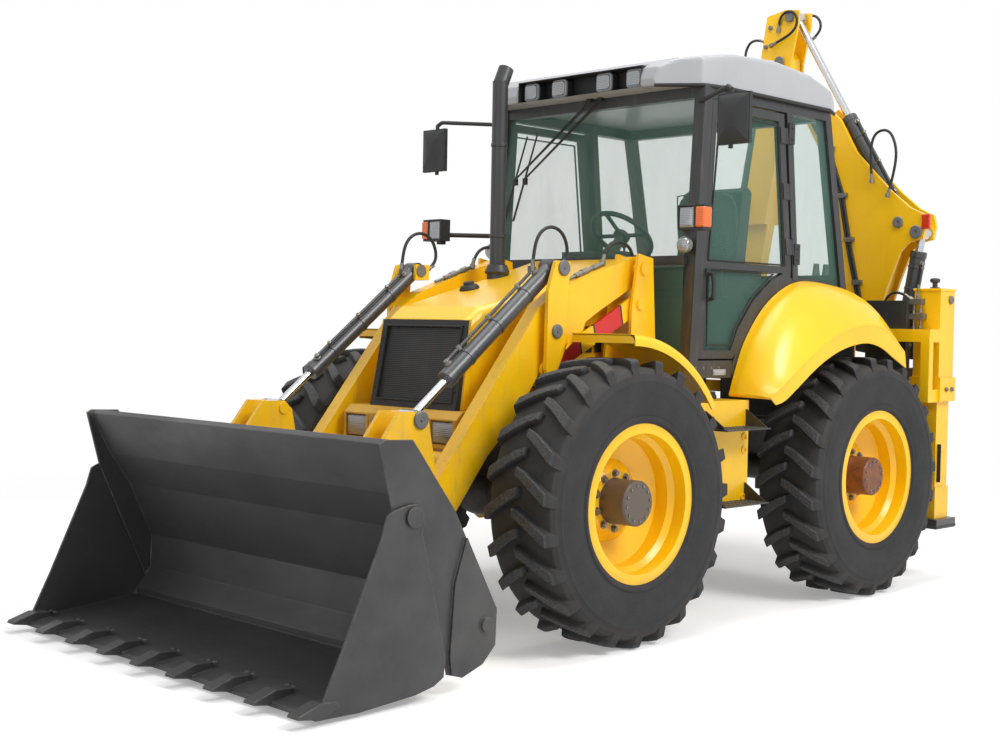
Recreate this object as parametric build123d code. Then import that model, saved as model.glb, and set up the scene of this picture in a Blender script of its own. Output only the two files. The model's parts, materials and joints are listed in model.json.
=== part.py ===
from build123d import *
import math
import os

# Backhoe loader with equal wheels and four-wheel steering, millimetres.
# X is across (the machine's left is +X), Y runs rearwards, Z is up, and the ground is z = 0.
# Lengths along Y are measured from the front axle; export() moves all to the middle of the machine.

# ---- wheels and axles ----
WHEELBASE = 2170
TYRE_R = 705
TYRE_WIDTH = 430
TYRE_X = 920
RIM_R = 356
FLANGE_R = 392
RIM_HALF = 190
KINGPIN_X = 820
HUB_R = 112
HUB_FACE_X = 1088
DISC_X = 935
DISC_THICKNESS = 16
KNUCKLE_R = 78
KINGPIN_R = 62
KNUCKLE_HALF_HEIGHT = 118
YOKE_THICKNESS = 55
BEAM_HALF = 82
DIFF_R = 165
LUGS = 23
LUG_DEPTH = 42
LUG_FOOT_Z = 596
# One lug on the tread, as (across, round) corners: at its foot in the carcass, and at its crest.
LUG_FOOT = [(-18, -26), (204, 98), (204, 158), (-18, 26)]
LUG_CREST = [(-9, -15), (188, 100), (188, 138), (-9, 19)]
WHEEL_PLACES = [("fl", 1, 0), ("fr", -1, 0), ("rl", 1, WHEELBASE), ("rr", -1, WHEELBASE)]

# ---- frame ----
RAIL_X = 300
RAIL_T = 40
RAIL_BOTTOM = 800
RAIL_TOP = 1000
FRAME_FRONT = -430
FRAME_REAR = WHEELBASE + 620
SADDLE_HALF = 120
FLOOR_Z = 1290
STEER_CLEAR_Z = 1215

# ---- loader linkage, pins given as (y, z) ----
ARM_PIVOT = (585, 1870)
LINK_PIVOT = (554, 1679)
KNEE_PIN = (-93, 1531)
TILT_BASE_PIN = (-50, 1850)
BUCKET_PIN = (-960, 513)
TILT_EYE_PIN = (-982, 1115)
LIFT_EYE_PIN = (70, 1440)
LIFT_BASE_PIN = (450, 500)
ARM_X0 = 475
ARM_X1 = 560
LINK_X0 = 566
LINK_X1 = 586
KNEE_X0 = 592
KNEE_X1 = 614
TOWER_X0 = 448
TOWER_X1 = 594
TOWER_T = 18
LINK_HALF = 42
LIFT_BARREL_R = 44
LIFT_ROD_R = 26
TILT_BARREL_R = 43
TILT_ROD_R = 20
TILT_BARREL_LENGTH = 905
LIFT_BARREL_LENGTH = 955
BRACKET_X0 = 447
BRACKET_X1 = 597
BRACKET_T = 24
FIT = 0.4
PIN_R = 34

# ---- loader bucket ----
BUCKET_HALF = 1172
SIDE_T = 10
LAYER_GAP = 5
CLAM_SIDE_T = 11
CLAM_PIN = (-1524, 772)
TOOTH_TIP_Y = -2103
TEETH = 9
TOOTH_SPAN = 1146
TOOTH_W = 70
FLOOR_CLEARANCE = 4
BUCKET_CAP = 13
BUCKET_INNER = BUCKET_HALF - CLAM_SIDE_T - LAYER_GAP - SIDE_T

# ---- backhoe, pins given as (x, z) in the boom's plane ----
BOOM_Y = WHEELBASE + 1100
SWING_X = 800
BOOM_FOOT = (365, 1500)
BOOM_RAM_BASE = (640, 1560)
BOOM_RAM_EYE = (752, 2215)
DIPPER_RAM_BASE = (620, 2283)
DIPPER_PIVOT = (-335, 3440)
DIPPER_RAM_EYE = (-256, 3745)
HOE_PIN = (-590, 1760)
GUIDE_PIN = (-580, 1990)
GUIDE_EYE = (-790, 1820)
HOE_LINK_PIN = (-614, 1592)
HOE_RAM_BASE = (-541, 3240)
HOE_HALF = 150
BOOM_HALF = 80
HEAD_HALF = 56
DIPPER_HALF = 84
DIPPER_PLATE = 18
NOSE_HALF = 45
EAR_T = 18
POST_HALF = 112
POST_T = 24
HUB_POST_R = 60
HUB_POST_Z = (1330, 1700)
BOOM_BARREL_R = 50
BOOM_BARREL_LENGTH = 540
DIPPER_BARREL_R = 48
DIPPER_BARREL_LENGTH = 860
HOE_BARREL_R = 42
HOE_BARREL_LENGTH = 960

# ---- rear frame and stabilisers ----
STEP_HEIGHTS = (628, 1030)
LEG_X0 = 900
LEG_X1 = 1080
LEG_Y0 = WHEELBASE + 755
LEG_Y1 = WHEELBASE + 935
LEG_TOP = 1830
COLLAR_BOTTOM = 1130
COLLAR_TOP = 1280
LEG_WALL = 14
LEG_GAP = 0.8
PAD_BOTTOM = 330
LEG_STROKE = 560
RAIL_HEIGHTS = [(1500, 1580), (1125, 1205)]
SHIFT_Y0 = WHEELBASE + 630
SHIFT_Y1 = WHEELBASE + 680

# ---- cab ----
CAB_HALF = 780
CAB_FRONT = 800
CAB_REAR = 2330
PILLAR = 70
DOOR_TOP = 2800
DOOR_BOTTOM = 1390
BELT_Z = 1905
B_PILLAR_Y = 1745
GLASS_T = 6
SEAT_DECK = 1740
ROOF_Z = 2865
CAB_ARCH = [(1150, 1330), (1196, 1420), (1252, 1535), (1392, 1692), (1556, 1802), (1716, 1862), (1907, 1866),
            (2128, 1850), (2320, 1806)]
DOOR_OPENING = [(900, 1440), (1150, 1440), (1212, 1560), (1360, 1725), (1530, 1842), (1660, 1892), (1664, 1930),
                (1562, 2748), (982, 2748)]
DOOR_BELT = [(880, 1885), (1700, 1885), (1700, 1925), (880, 1925)]
HINGE_LOW = (1740, 1915)
HINGE_HIGH = (1627, 2795)
HINGE_PLACES = [0.14, 0.5, 0.86]
HINGE_HALF = 46
HINGE_R = 11

# ---- body panels ----
HOOD_SECTIONS = [(-424, 338, 1581), (-341, 345, 1647), (367, 395, 1830), (765, 425, 1938)]
HOOD_BOTTOM = 1127
GRILLE_BARS = 13
GRILLE_POSTS = 5
FENDER_INNER = [(1135, 1195), (1178, 1304), (1267, 1486), (1417, 1660), (1574, 1768), (1737, 1832), (1907, 1849),
                (2128, 1833), (2330, 1790), (2480, 1700), (2600, 1560)]
FENDER_LIP = [(1150, 1190), (1230, 1235), (1370, 1320), (1530, 1415), (1690, 1495), (1850, 1555), (2010, 1590),
              (2160, 1602), (2300, 1585), (2420, 1530), (2560, 1440)]
FENDER_EDGE = [(1205, 1150), (1290, 1172), (1420, 1245), (1560, 1328), (1700, 1397), (1850, 1450), (2010, 1482),
               (2150, 1489), (2290, 1462), (2430, 1402), (2580, 1340)]
FRONT_FENDER_R = 820
FRONT_FENDER_X = (630, 1050)
FRONT_FENDER_END = 1176
TANK_X = 900
TANK_Y0 = 740
TANK_Y1 = 1160
TANK_TOP = 1172
TANK_BOTTOM = 600
STEP_REACH = 160
FENDER_STATIONS = [(780, 0), (860, 0.12), (940, 0.36), (1000, 0.66), (1050, 1)]

FRONT_REACH = -TOOTH_TIP_Y
REAR_REACH = BOOM_Y + HOE_HALF
MIDDLE_Y = (REAR_REACH - FRONT_REACH) / 2


# ---- shared shapes ----
def outline(points, radius=0):
    """Closed flat face through 2-D points, its corners rounded by one radius or a list of them."""
    if radius:
        return make_face(FilletPolyline(*points, radius=radius, close=True))
    return make_face(Polyline(*points, close=True))


def side_plate(face, x0, x1):
    """Face drawn as (y, z), as thick as x0 to x1."""
    return extrude(Plane((x0, 0, 0), x_dir=(0, 1, 0), z_dir=(1, 0, 0)) * face, x1 - x0)


def cross_plate(face, y0, y1):
    """Face drawn as (x, z), as thick as y0 to y1."""
    return extrude(Plane((0, y1, 0), x_dir=(1, 0, 0), z_dir=(0, -1, 0)) * face, y1 - y0)


def floor_plate(face, z0, z1):
    """Face drawn as (x, y), as thick as z0 to z1."""
    return extrude(Plane.XY.offset(z0) * face, z1 - z0)


def block(x0, x1, y0, y1, z0, z1):
    return Pos((x0 + x1) / 2, (y0 + y1) / 2, (z0 + z1) / 2) * Box(x1 - x0, y1 - y0, z1 - z0)


def pin_x(place, radius, x0, x1):
    """Cylinder along X at the (y, z) place."""
    return side_plate(Pos(*place) * Circle(radius), x0, x1)


def pin_y(place, radius, y0, y1):
    """Cylinder along Y at the (x, z) place."""
    return cross_plate(Pos(*place) * Circle(radius), y0, y1)


def bar(start, end, radius, bore=0):
    """Round bar or tube between two 3-D points."""
    a, b = Vector(*start), Vector(*end)
    section = Circle(radius) - Circle(bore) if bore else Circle(radius)
    return extrude(Plane(a, z_dir=b - a) * section, (b - a).length)


def along(start, end, distance):
    """2-D point at a distance from start towards end."""
    length = math.dist(start, end)
    return tuple(s + (e - s) * distance / length for s, e in zip(start, end))


def strap(start, end, half_start, half_end):
    """Tapered flat bar with round ends, drawn as a face between two pins."""
    return make_hull([*(Pos(*start) * Circle(half_start)).edges(), *(Pos(*end) * Circle(half_end)).edges()])


def mirrored(shape):
    return mirror(shape, about=Plane.YZ)


def both(*shapes):
    """Each shape and its mirror image on the machine's other side."""
    return [*shapes, *(mirrored(shape) for shape in shapes)]


def export(name, solids):
    """Writes one node, moved so that the origin lies under the middle of the machine."""
    kept = [solid for shape in solids for solid in shape.solids()]
    whole = Compound(children=[Pos(0, -MIDDLE_Y, 0) * solid for solid in kept])
    export_step(whole, f"parts/{name}.step")


# ---- wheels, knuckles and axles ----
def lug():
    """One bar of the tread at the top of the wheel, with bevelled flanks, drawn round the axle."""
    reach = max(s for _, s in LUG_CREST)
    crown = math.sqrt(TYRE_R**2 - reach**2)
    return loft([Plane.XY.offset(LUG_FOOT_Z) * outline(LUG_FOOT), Plane.XY.offset(crown) * outline(LUG_CREST)], ruled=True)


def carcass():
    """Tyre body without its lugs, turned about the axle."""
    half = TYRE_WIDTH / 2
    seat = RIM_HALF - 6 - FIT
    side = [(seat, FLANGE_R + FIT), (half, 540), (half - 8, 622), (half - 60, TYRE_R - LUG_DEPTH)]
    section = make_face(
        Polyline((-seat, RIM_R), *[(-x, r) for x, r in side], *reversed(side), (seat, RIM_R), close=True)
    )
    return revolve(Plane.XZ * section, Axis.X)


def tyre_form():
    """Carcass with both rows of lugs, set half a step apart, one lug's corner on the ground."""
    step = 360 / LUGS
    start = 180 + math.degrees(math.asin(max(s for _, s in LUG_CREST) / TYRE_R))
    bars = []
    for n in range(LUGS):
        bars.append(Rot(start - n * step, 0, 0) * lug())
        bars.append(Rot(start - (n + 0.5) * step, 0, 0) * mirrored(lug()))
    return carcass() + bars


def tyre(side, y, form):
    return [Pos(side * TYRE_X, y, TYRE_R) * form]


def wheel(side, y):
    """Rim with flanges, dished disc and the planetary hub drum, turned about the axle."""
    outer = DISC_X - TYRE_X
    hub = HUB_FACE_X - TYRE_X
    inner_r = RIM_R - 14
    section = make_face(
        Polyline(
            (-RIM_HALF, FLANGE_R), (-RIM_HALF, inner_r), (-120, inner_r), (-95, inner_r - 34),
            (outer - DISC_THICKNESS - 10, inner_r - 34), (outer - DISC_THICKNESS - 40, 200),
            (outer - DISC_THICKNESS, 150), (outer - DISC_THICKNESS, 0), (hub, 0), (hub, HUB_R - 8), (hub - 8, HUB_R),
            (outer, HUB_R), (outer, 150), (outer - 40, 205), (outer + 6, inner_r - 26), (95, inner_r - 26),
            (120, inner_r), (RIM_HALF, inner_r), (RIM_HALF, FLANGE_R), (RIM_HALF - 6, FLANGE_R),
            (RIM_HALF - 6, RIM_R - FIT), (-RIM_HALF + 6, RIM_R - FIT), (-RIM_HALF + 6, FLANGE_R), close=True,
        )
    )
    turned = revolve(Plane.XZ * section, Axis.X)
    turned = turned if side > 0 else mirrored(turned)
    return [Pos(side * TYRE_X, y, TYRE_R) * turned]


def knuckle(side, y):
    """Steered hub carrier: a spindle with a flange, and the king-pin barrel that it turns on."""
    face = DISC_X - DISC_THICKNESS - FIT
    barrel = Pos(KINGPIN_X, 0, TYRE_R) * Cylinder(KINGPIN_R, 2 * KNUCKLE_HALF_HEIGHT)
    spindle = pin_x((0, TYRE_R), KNUCKLE_R, KINGPIN_X, face)
    flange = pin_x((0, TYRE_R), 140, face - 30, face)
    arm = block(KINGPIN_X - 30, KINGPIN_X + 30, 0, 190, TYRE_R - 60, TYRE_R - 20)
    part = barrel + spindle + flange + arm
    part = part if side > 0 else mirrored(part)
    return [Pos(0, y, 0) * part]


def axle_beam(y):
    """Driven axle: differential housing, tapered tubes and a yoke above and below each king-pin."""
    top = TYRE_R + KNUCKLE_HALF_HEIGHT + FIT
    bottom = TYRE_R - KNUCKLE_HALF_HEIGHT - FIT
    inner = KINGPIN_X - KINGPIN_R - 40
    yoke_face = outline(
        [(KINGPIN_X + 55, top), (KINGPIN_X + 55, top + YOKE_THICKNESS), (inner - 40, top + YOKE_THICKNESS),
         (inner - 110, TYRE_R + BEAM_HALF), (inner - 110, TYRE_R - BEAM_HALF), (inner - 40, bottom - YOKE_THICKNESS),
         (KINGPIN_X + 55, bottom - YOKE_THICKNESS), (KINGPIN_X + 55, bottom), (inner, bottom), (inner, top)]
    )
    yoke = cross_plate(yoke_face, -55, 55)
    tube = bar((0, 0, TYRE_R), (inner - 100, 0, TYRE_R), BEAM_HALF)
    housing = Pos(0, 0, TYRE_R) * Sphere(DIFF_R)
    beam = housing + tube + mirrored(tube) + yoke + mirrored(yoke)
    return [Pos(0, y, 0) * beam]


# ---- frame ----
def frame():
    rail = block(RAIL_X, RAIL_X + RAIL_T, FRAME_FRONT, FRAME_REAR, RAIL_BOTTOM, RAIL_TOP)
    rails = rail + mirrored(rail)
    for y in (FRAME_FRONT + 40, 700, 1300, FRAME_REAR - 20):
        rails += block(-RAIL_X, RAIL_X, y - 20, y + 20, RAIL_BOTTOM + 20, RAIL_TOP - 20)
    for y in (0, WHEELBASE):
        saddle = block(-RAIL_X, RAIL_X, y - SADDLE_HALF, y + SADDLE_HALF, TYRE_R + DIFF_R - 40, RAIL_TOP - 20)
        rails += saddle - Pos(0, y, TYRE_R) * Sphere(DIFF_R + FIT)
    low, high, waist = 480, 560, STEER_CLEAR_Z
    rails += cross_plate(
        outline([(-low, 780), (low, 780), (low, waist), (high, waist), (high, 1580), (-high, 1580), (-high, waist),
                 (-low, waist)]), FRAME_REAR - 20, FRAME_REAR
    )
    for y, top in ((860, FLOOR_Z), (1480, FLOOR_Z), (CAB_REAR - 40, SEAT_DECK - 200)):
        post = block(RAIL_X, RAIL_X + RAIL_T, y - 35, y + 35, RAIL_TOP, top)
        rails += post + mirrored(post)
    return [rails]


def lift_bracket():
    """Hanger below each rail that carries the foot of a lift cylinder on a stub pin."""
    y, z = LIFT_BASE_PIN
    cheek = side_plate(
        outline([(y - 60, z - 30), (y - 20, z - 62), (y + 20, z - 62), (y + 60, z - 30), (y + 110, 990), (y - 110, 990)]),
        TOWER_X0, TOWER_X0 + TOWER_T,
    )
    web = block(RAIL_X + RAIL_T, TOWER_X0, y - 60, y + 60, 820, 980)
    pin = pin_x(LIFT_BASE_PIN, 24, TOWER_X0, 556)
    return cheek + web + pin


def tower():
    """Fork that the arm and the levelling link turn in, standing on the rail."""
    inner_face = outline([(440, 900), (720, 900), (700, 1500), (660, 1930), (540, 1950), (480, 1650), (440, 1300)])
    inner = side_plate(inner_face, TOWER_X0, TOWER_X0 + TOWER_T)
    low = STEER_CLEAR_Z
    outer_face = outline([(490, low), (700, low), (690, 1500), (660, 1930), (540, 1950), (490, 1650)])
    outer = side_plate(outer_face, TOWER_X1, TOWER_X1 + TOWER_T)
    shelf = block(TOWER_X0, TOWER_X1 + TOWER_T, 500, 700, low, low + 24)
    back = block(TOWER_X0, TOWER_X1 + TOWER_T, 690, 706, low, 1400)
    foot = block(RAIL_X + RAIL_T, TOWER_X0, 440, 700, 900, 990)
    arm_pin = pin_x(ARM_PIVOT, PIN_R, TOWER_X0, TOWER_X1 + TOWER_T + 12)
    link_pin = pin_x(LINK_PIVOT, PIN_R - 6, TOWER_X0, TOWER_X1 + TOWER_T + 12)
    return [inner + outer + shelf + back + foot + arm_pin + link_pin + lift_bracket()]


# ---- loader ----
def arm():
    rear = outline(
        [(630, 1810), (630, 1930), (569, 1936), (282, 1847), (-31, 1736), (-162, 1652), (-831, 824),
         (-1010, 590), (-1032, 513), (-1005, 455), (-950, 438), (-895, 470), (-706, 677), (-511, 921),
         (-330, 1090), (-120, 1370), (20, 1490), (289, 1640), (592, 1790)]
    )
    body = side_plate(rear, ARM_X0, ARM_X1)
    lug = side_plate(
        outline([(-40, 1480), (20, LIFT_EYE_PIN[1] - 45), (110, LIFT_EYE_PIN[1] - 40), (190, 1600), (0, 1560)]),
        ARM_X0, ARM_X1,
    )
    slot = side_plate(
        outline([(-70, 1300), (202, 1300), (202, 1546), (90, 1546), (-5, 1502), (-70, 1420)]), ARM_X0 + 16, ARM_X1 - 16
    )
    body = body + lug - slot
    body -= pin_x(ARM_PIVOT, PIN_R + FIT, ARM_X0, ARM_X1)
    body -= pin_x(BUCKET_PIN, PIN_R + FIT, ARM_X0, ARM_X1)
    body += pin_x(KNEE_PIN, PIN_R, ARM_X1, KNEE_X1 + 4)
    return body


def arms():
    cross = bar((-ARM_X0, -650, 880), (ARM_X0, -650, 880), 55)
    left = arm()
    return [left + mirrored(left) + cross]


def bellcrank():
    face = outline(
        [(-105, 1885), (-158, 1730), (-165, 1340), (-140, 1290), (-105, 1290), (-27, 1441), (-10, 1736), (2, 1885)],
        radius=12,
    )
    y, z = TILT_BASE_PIN
    plate = side_plate(face, KNEE_X0, KNEE_X1)
    plate -= pin_x(KNEE_PIN, PIN_R + FIT, KNEE_X0, KNEE_X1)
    inner = side_plate(outline([(y - 40, z + 35), (y - 40, z - 50), (y + 60, z - 50), (y + 60, z + 35)]), 458, 476)
    web = block(458, KNEE_X0, y + 46, y + 60, z - 50, z + 35)
    plate -= pin_x(TILT_BASE_PIN, PIN_R + FIT, KNEE_X0, KNEE_X1)
    inner -= pin_x(TILT_BASE_PIN, PIN_R + FIT, 458, 476)
    return plate + inner + web


def link_front_pin():
    """Front pin of the levelling link, set off from the knee pin as the two frame pins are."""
    return tuple(k + lower - upper for k, lower, upper in zip(KNEE_PIN, LINK_PIVOT, ARM_PIVOT))


def levelling_link():
    front = link_front_pin()
    face = strap(LINK_PIVOT, front, LINK_HALF + 8, LINK_HALF)
    body = side_plate(face, LINK_X0, LINK_X1)
    body -= pin_x(LINK_PIVOT, PIN_R - 6 + FIT, LINK_X0, LINK_X1)
    return body


def tilt_pin():
    return pin_x(TILT_BASE_PIN, PIN_R, 452, KNEE_X1 + 6)


def tilt_barrel():
    x = (BRACKET_X0 + BRACKET_X1) / 2
    a = along(TILT_BASE_PIN, TILT_EYE_PIN, 20)
    b = along(TILT_BASE_PIN, TILT_EYE_PIN, TILT_BARREL_LENGTH)
    deep = along(TILT_BASE_PIN, TILT_EYE_PIN, 60)
    body = bar((x, *a), (x, *b), TILT_BARREL_R)
    body += pin_x(TILT_BASE_PIN, 46, x - 40, x + 40)
    body -= bar((x, *deep), (x, *along(TILT_BASE_PIN, TILT_EYE_PIN, TILT_BARREL_LENGTH + 5)), TILT_ROD_R + FIT)
    body -= pin_x(TILT_BASE_PIN, PIN_R + FIT, x - 45, x + 45)
    return body


def tilt_rod():
    x = (BRACKET_X0 + BRACKET_X1) / 2
    inner = (BRACKET_X1 - BRACKET_X0) / 2 - BRACKET_T - FIT
    start = along(TILT_BASE_PIN, TILT_EYE_PIN, 235)
    body = bar((x, *start), (x, *TILT_EYE_PIN), TILT_ROD_R)
    return body + pin_x(TILT_EYE_PIN, 44, x - inner, x + inner)


def lift_barrel():
    x = (ARM_X0 + ARM_X1) / 2
    a = along(LIFT_BASE_PIN, LIFT_EYE_PIN, 20)
    body = bar((x, *a), (x, *along(LIFT_BASE_PIN, LIFT_EYE_PIN, LIFT_BARREL_LENGTH)), LIFT_BARREL_R)
    body = body + pin_x(LIFT_BASE_PIN, 40, x - 30, x + 15)
    deep = along(LIFT_BASE_PIN, LIFT_EYE_PIN, 60)
    body -= bar((x, *deep), (x, *along(LIFT_BASE_PIN, LIFT_EYE_PIN, LIFT_BARREL_LENGTH + 5)), LIFT_ROD_R + FIT)
    body -= pin_x(LIFT_BASE_PIN, 24 + FIT, x - 50, x + 50)
    return body


def lift_rod():
    x = (ARM_X0 + ARM_X1) / 2
    start = along(LIFT_BASE_PIN, LIFT_EYE_PIN, 72)
    body = bar((x, *start), (x, *LIFT_EYE_PIN), LIFT_ROD_R)
    return body + pin_x(LIFT_EYE_PIN, 42, ARM_X0 + 16 + FIT, ARM_X1 - 16 - FIT)


def bucket_pin_bar():
    return pin_x(BUCKET_PIN, PIN_R, BRACKET_X0 - 8, BRACKET_X1 + 8)


def bucket_brackets():
    """Yellow plates on the bucket's back: two beside each arm end, from the lower pin to the tilt rod's eye."""
    face = outline(
        [(-1109, 1155), (-978, 1152), (-930, 1110), (-887, 900), (-880, 540), (-900, 450), (-1040, 300), (-1180, 220),
         (-1300, 250), (-1300, 430), (-1440, 725)]
    )
    plates = []
    for x0 in (BRACKET_X0, BRACKET_X1 - BRACKET_T):
        plate = side_plate(face, x0, x0 + BRACKET_T)
        plate -= pin_x(BUCKET_PIN, PIN_R + FIT, x0, x0 + BRACKET_T)
        plates.append(plate)
    caps = [pin_x(TILT_EYE_PIN, 30, BRACKET_X1, BRACKET_X1 + 6), pin_x(TILT_EYE_PIN, 30, BRACKET_X0 - 6, BRACKET_X0)]
    web = block(BRACKET_X0 + BRACKET_T, BRACKET_X1 - BRACKET_T, -1290, -1240, 400, 560)
    whole = plates[0] + caps[1] + plates[1] + caps[0] + web
    return [whole - back_sheet()]


def back_sheet():
    """Curved back of the bucket between its side plates."""
    inner = [(-1675, 1073), (-1560, 860), (-1447, 700), (-1315, 420), (-1320, 250), (-1400, 150)]
    outer = [(-1400, 118), (-1292, 235), (-1283, 425), (-1418, 715), (-1530, 880), (-1640, 1090)]
    return side_plate(outline(inner + outer), -BUCKET_INNER, BUCKET_INNER)


def bucket_back():
    """Upper shell of the bucket: curved back, top lip, rear part of each side and a wear plate on it."""
    x0, x1 = BUCKET_INNER, BUCKET_INNER + SIDE_T
    side_face = outline(
        [(-1697, 1075), (-1670, 1090), (-1521, 1085), (-1275, 772), (-1039, 339), (-1045, 183), (-1120, 110),
         (-1239, 70), (-1310, 90), (-1326, 161), (-1622, 800)]
    )
    wear_face = outline(
        [(-1285, 470), (-1220, 660), (-1039, 339), (-1045, 183), (-1120, 110), (-1239, 70), (-1296, 88), (-1308, 170)]
    )
    left = side_plate(side_face, x0, x1) + side_plate(wear_face, x1, BUCKET_HALF)
    pin = pin_x(CLAM_PIN, 22, x0, BUCKET_HALF + 2)
    cap = pin_x(CLAM_PIN, 42, BUCKET_HALF + 2, BUCKET_HALF + BUCKET_CAP)
    low_cap = pin_x((-1101, 276), 34, BUCKET_HALF, BUCKET_HALF + BUCKET_CAP)
    left = left + cap + low_cap + pin
    return [back_sheet() + left + mirrored(left)]


def clam():
    """Front jaw of the bucket: floor, cutting edge, teeth and side plates that hang outside the rear ones."""
    x1 = BUCKET_HALF
    floor = side_plate(
        outline([(-1960, 30), (-2010, 24), (-2010, 44), (-1900, 62), (-1407, 112), (-1407, 92), (-1500, 40), (-1800, 20)]),
        -x1, x1,
    )
    side_face = outline([(-1628, 806), (-1545, 824), (-1500, 822), (-1470, 790), (-1462, 740), (-1475, 700), (-1336, 175),
                         (-1345, 90), (-1400, 60), (-1500, 40), (-1800, 20), (-2000, 24), (-1990, 60), (-1883, 277),
                         (-1689, 699), (-1660, 790)])
    left = side_plate(side_face, x1 - CLAM_SIDE_T, x1) - pin_x(CLAM_PIN, 22 + FIT, x1 - 60, x1)
    body = floor + left + mirrored(left)
    for n in range(TEETH):
        x = TOOTH_SPAN * (2 * n / (TEETH - 1) - 1)
        tooth = side_plate(
            outline([(TOOTH_TIP_Y, 46), (TOOTH_TIP_Y + 6, 58), (-1990, 92), (-1910, 86), (-1900, 60), (-2000, 30)]),
            x - TOOTH_W / 2, x + TOOTH_W / 2,
        )
        body += tooth
    return [body]


# ---- backhoe ----
def boom():
    """Side plates with the apex lug, a narrower core between them and a narrow head at the dipper's pivot."""
    plate_face = outline(
        [(305, 1460), (365, 1440), (425, 1470), (495, 1690), (560, 1888), (640, 2090), (700, 2150), (800, 2170),
         (815, 2260), (800, 2330), (700, 2378), (560, 2493), (290, 2769), (165, 2990), (60, 3090), (-90, 3000),
         (60, 2676), (105, 2509), (172, 2203), (200, 1770)]
    )
    core_face = outline(
        [(310, 1470), (365, 1444), (405, 1490), (462, 1690), (530, 1888), (580, 2060), (540, 2200), (480, 2330),
         (300, 2590), (60, 2960), (-130, 3190), (-262, 3350), (-262, 3460), (-300, 3515), (-370, 3515), (-410, 3460),
         (-400, 3400), (-290, 3290), (60, 2676), (105, 2509), (172, 2203), (200, 1770)]
    )
    body = cross_plate(core_face, BOOM_Y - HEAD_HALF, BOOM_Y + HEAD_HALF)
    for side in (-1, 1):
        near, far = sorted((BOOM_Y + side * HEAD_HALF, BOOM_Y + side * BOOM_HALF))
        body += cross_plate(plate_face, near, far)
    body -= pin_y(BOOM_FOOT, PIN_R + FIT, BOOM_Y - BOOM_HALF, BOOM_Y + BOOM_HALF)
    body -= pin_y(DIPPER_PIVOT, PIN_R + FIT, BOOM_Y - BOOM_HALF, BOOM_Y + BOOM_HALF)
    ram_pin = pin_y(DIPPER_RAM_BASE, PIN_R, BOOM_Y - BOOM_HALF - 8, BOOM_Y + BOOM_HALF + 8)
    caps = [pin_y(BOOM_RAM_EYE, 40, *sorted((BOOM_Y + s * BOOM_HALF, BOOM_Y + s * (BOOM_HALF + 8)))) for s in (-1, 1)]
    return [body + ram_pin + caps[0] + caps[1]]


def backhoe_ram(base, eye, length, barrel_r, rod_r, eye_half, bore_start, rod_start, base_pin):
    """Barrel with its base eye, and rod with its far eye, of one backhoe cylinder."""
    a, b = along(base, eye, 10), along(base, eye, length)
    barrel = bar((a[0], BOOM_Y, a[1]), (b[0], BOOM_Y, b[1]), barrel_r)
    barrel += pin_y(base, barrel_r - 2, BOOM_Y - eye_half, BOOM_Y + eye_half)
    deep, out = along(base, eye, bore_start), along(base, eye, length + 5)
    barrel -= bar((deep[0], BOOM_Y, deep[1]), (out[0], BOOM_Y, out[1]), rod_r + FIT)
    bore_half = max(eye_half, barrel_r)
    barrel -= pin_y(base, base_pin + FIT, BOOM_Y - bore_half, BOOM_Y + bore_half)
    start = along(base, eye, rod_start)
    rod = bar((start[0], BOOM_Y, start[1]), (eye[0], BOOM_Y, eye[1]), rod_r)
    rod += pin_y(eye, rod_r + 18, BOOM_Y - eye_half, BOOM_Y + eye_half)
    return barrel, rod


def boom_ram():
    return backhoe_ram(
        BOOM_RAM_BASE, BOOM_RAM_EYE, BOOM_BARREL_LENGTH, BOOM_BARREL_R, 27, HEAD_HALF - FIT, 60, 75, PIN_R - 8
    )


def dipper_ram():
    return backhoe_ram(
        DIPPER_RAM_BASE, DIPPER_RAM_EYE, DIPPER_BARREL_LENGTH, DIPPER_BARREL_R, 25, HEAD_HALF - FIT, 120, 640, PIN_R
    )


def hoe_ram():
    return backhoe_ram(HOE_RAM_BASE, GUIDE_EYE, HOE_BARREL_LENGTH, HOE_BARREL_R, 22, 26, 80, 420, PIN_R - 10)


def swing_post():
    """Cheeks that hold the boom's foot and its ram, joined by the hub that turns in the carriage."""
    cheek = outline(
        [(300, 1440), (365, 1425), (560, 1400), (800, 1380), (800, 1660), (700, 1650), (600, 1640), (440, 1580),
         (310, 1560), (290, 1500)]
    )
    post = cross_plate(cheek, BOOM_Y - POST_HALF, BOOM_Y - POST_HALF + POST_T)
    post += cross_plate(cheek, BOOM_Y + POST_HALF - POST_T, BOOM_Y + POST_HALF)
    post += block(714, SWING_X, BOOM_Y - POST_HALF, BOOM_Y + POST_HALF, 1400, 1640)
    post += Pos(SWING_X, BOOM_Y, sum(HUB_POST_Z) / 2) * Cylinder(HUB_POST_R, HUB_POST_Z[1] - HUB_POST_Z[0])
    post += pin_y(BOOM_FOOT, PIN_R, BOOM_Y - POST_HALF - 6, BOOM_Y + POST_HALF + 6)
    post += pin_y(BOOM_RAM_BASE, PIN_R - 8, BOOM_Y - POST_HALF - 6, BOOM_Y + POST_HALF + 6)
    for side in (-1, 1):
        post += pin_y(BOOM_RAM_BASE, 50, *sorted((BOOM_Y + side * HEAD_HALF, BOOM_Y + side * (POST_HALF - 5))))
    return [post]


def carriage():
    """Plate that slides on the rear rails, with a lug above and below the swing post."""
    low, high = HUB_POST_Z
    plate = block(SWING_X - 200, SWING_X + 90, SHIFT_Y1 + FIT, SHIFT_Y1 + 50, 1110, 1760)
    body = plate
    for z0, z1 in ((high + FIT, high + 56), (low - 56, low - FIT)):
        lug = block(SWING_X - 56, SWING_X + 56, SHIFT_Y1 + 50, BOOM_Y, z0, z1)
        body += lug + Pos(SWING_X, BOOM_Y, (z0 + z1) / 2) * Cylinder(56, z1 - z0)
    return [body]


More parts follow.
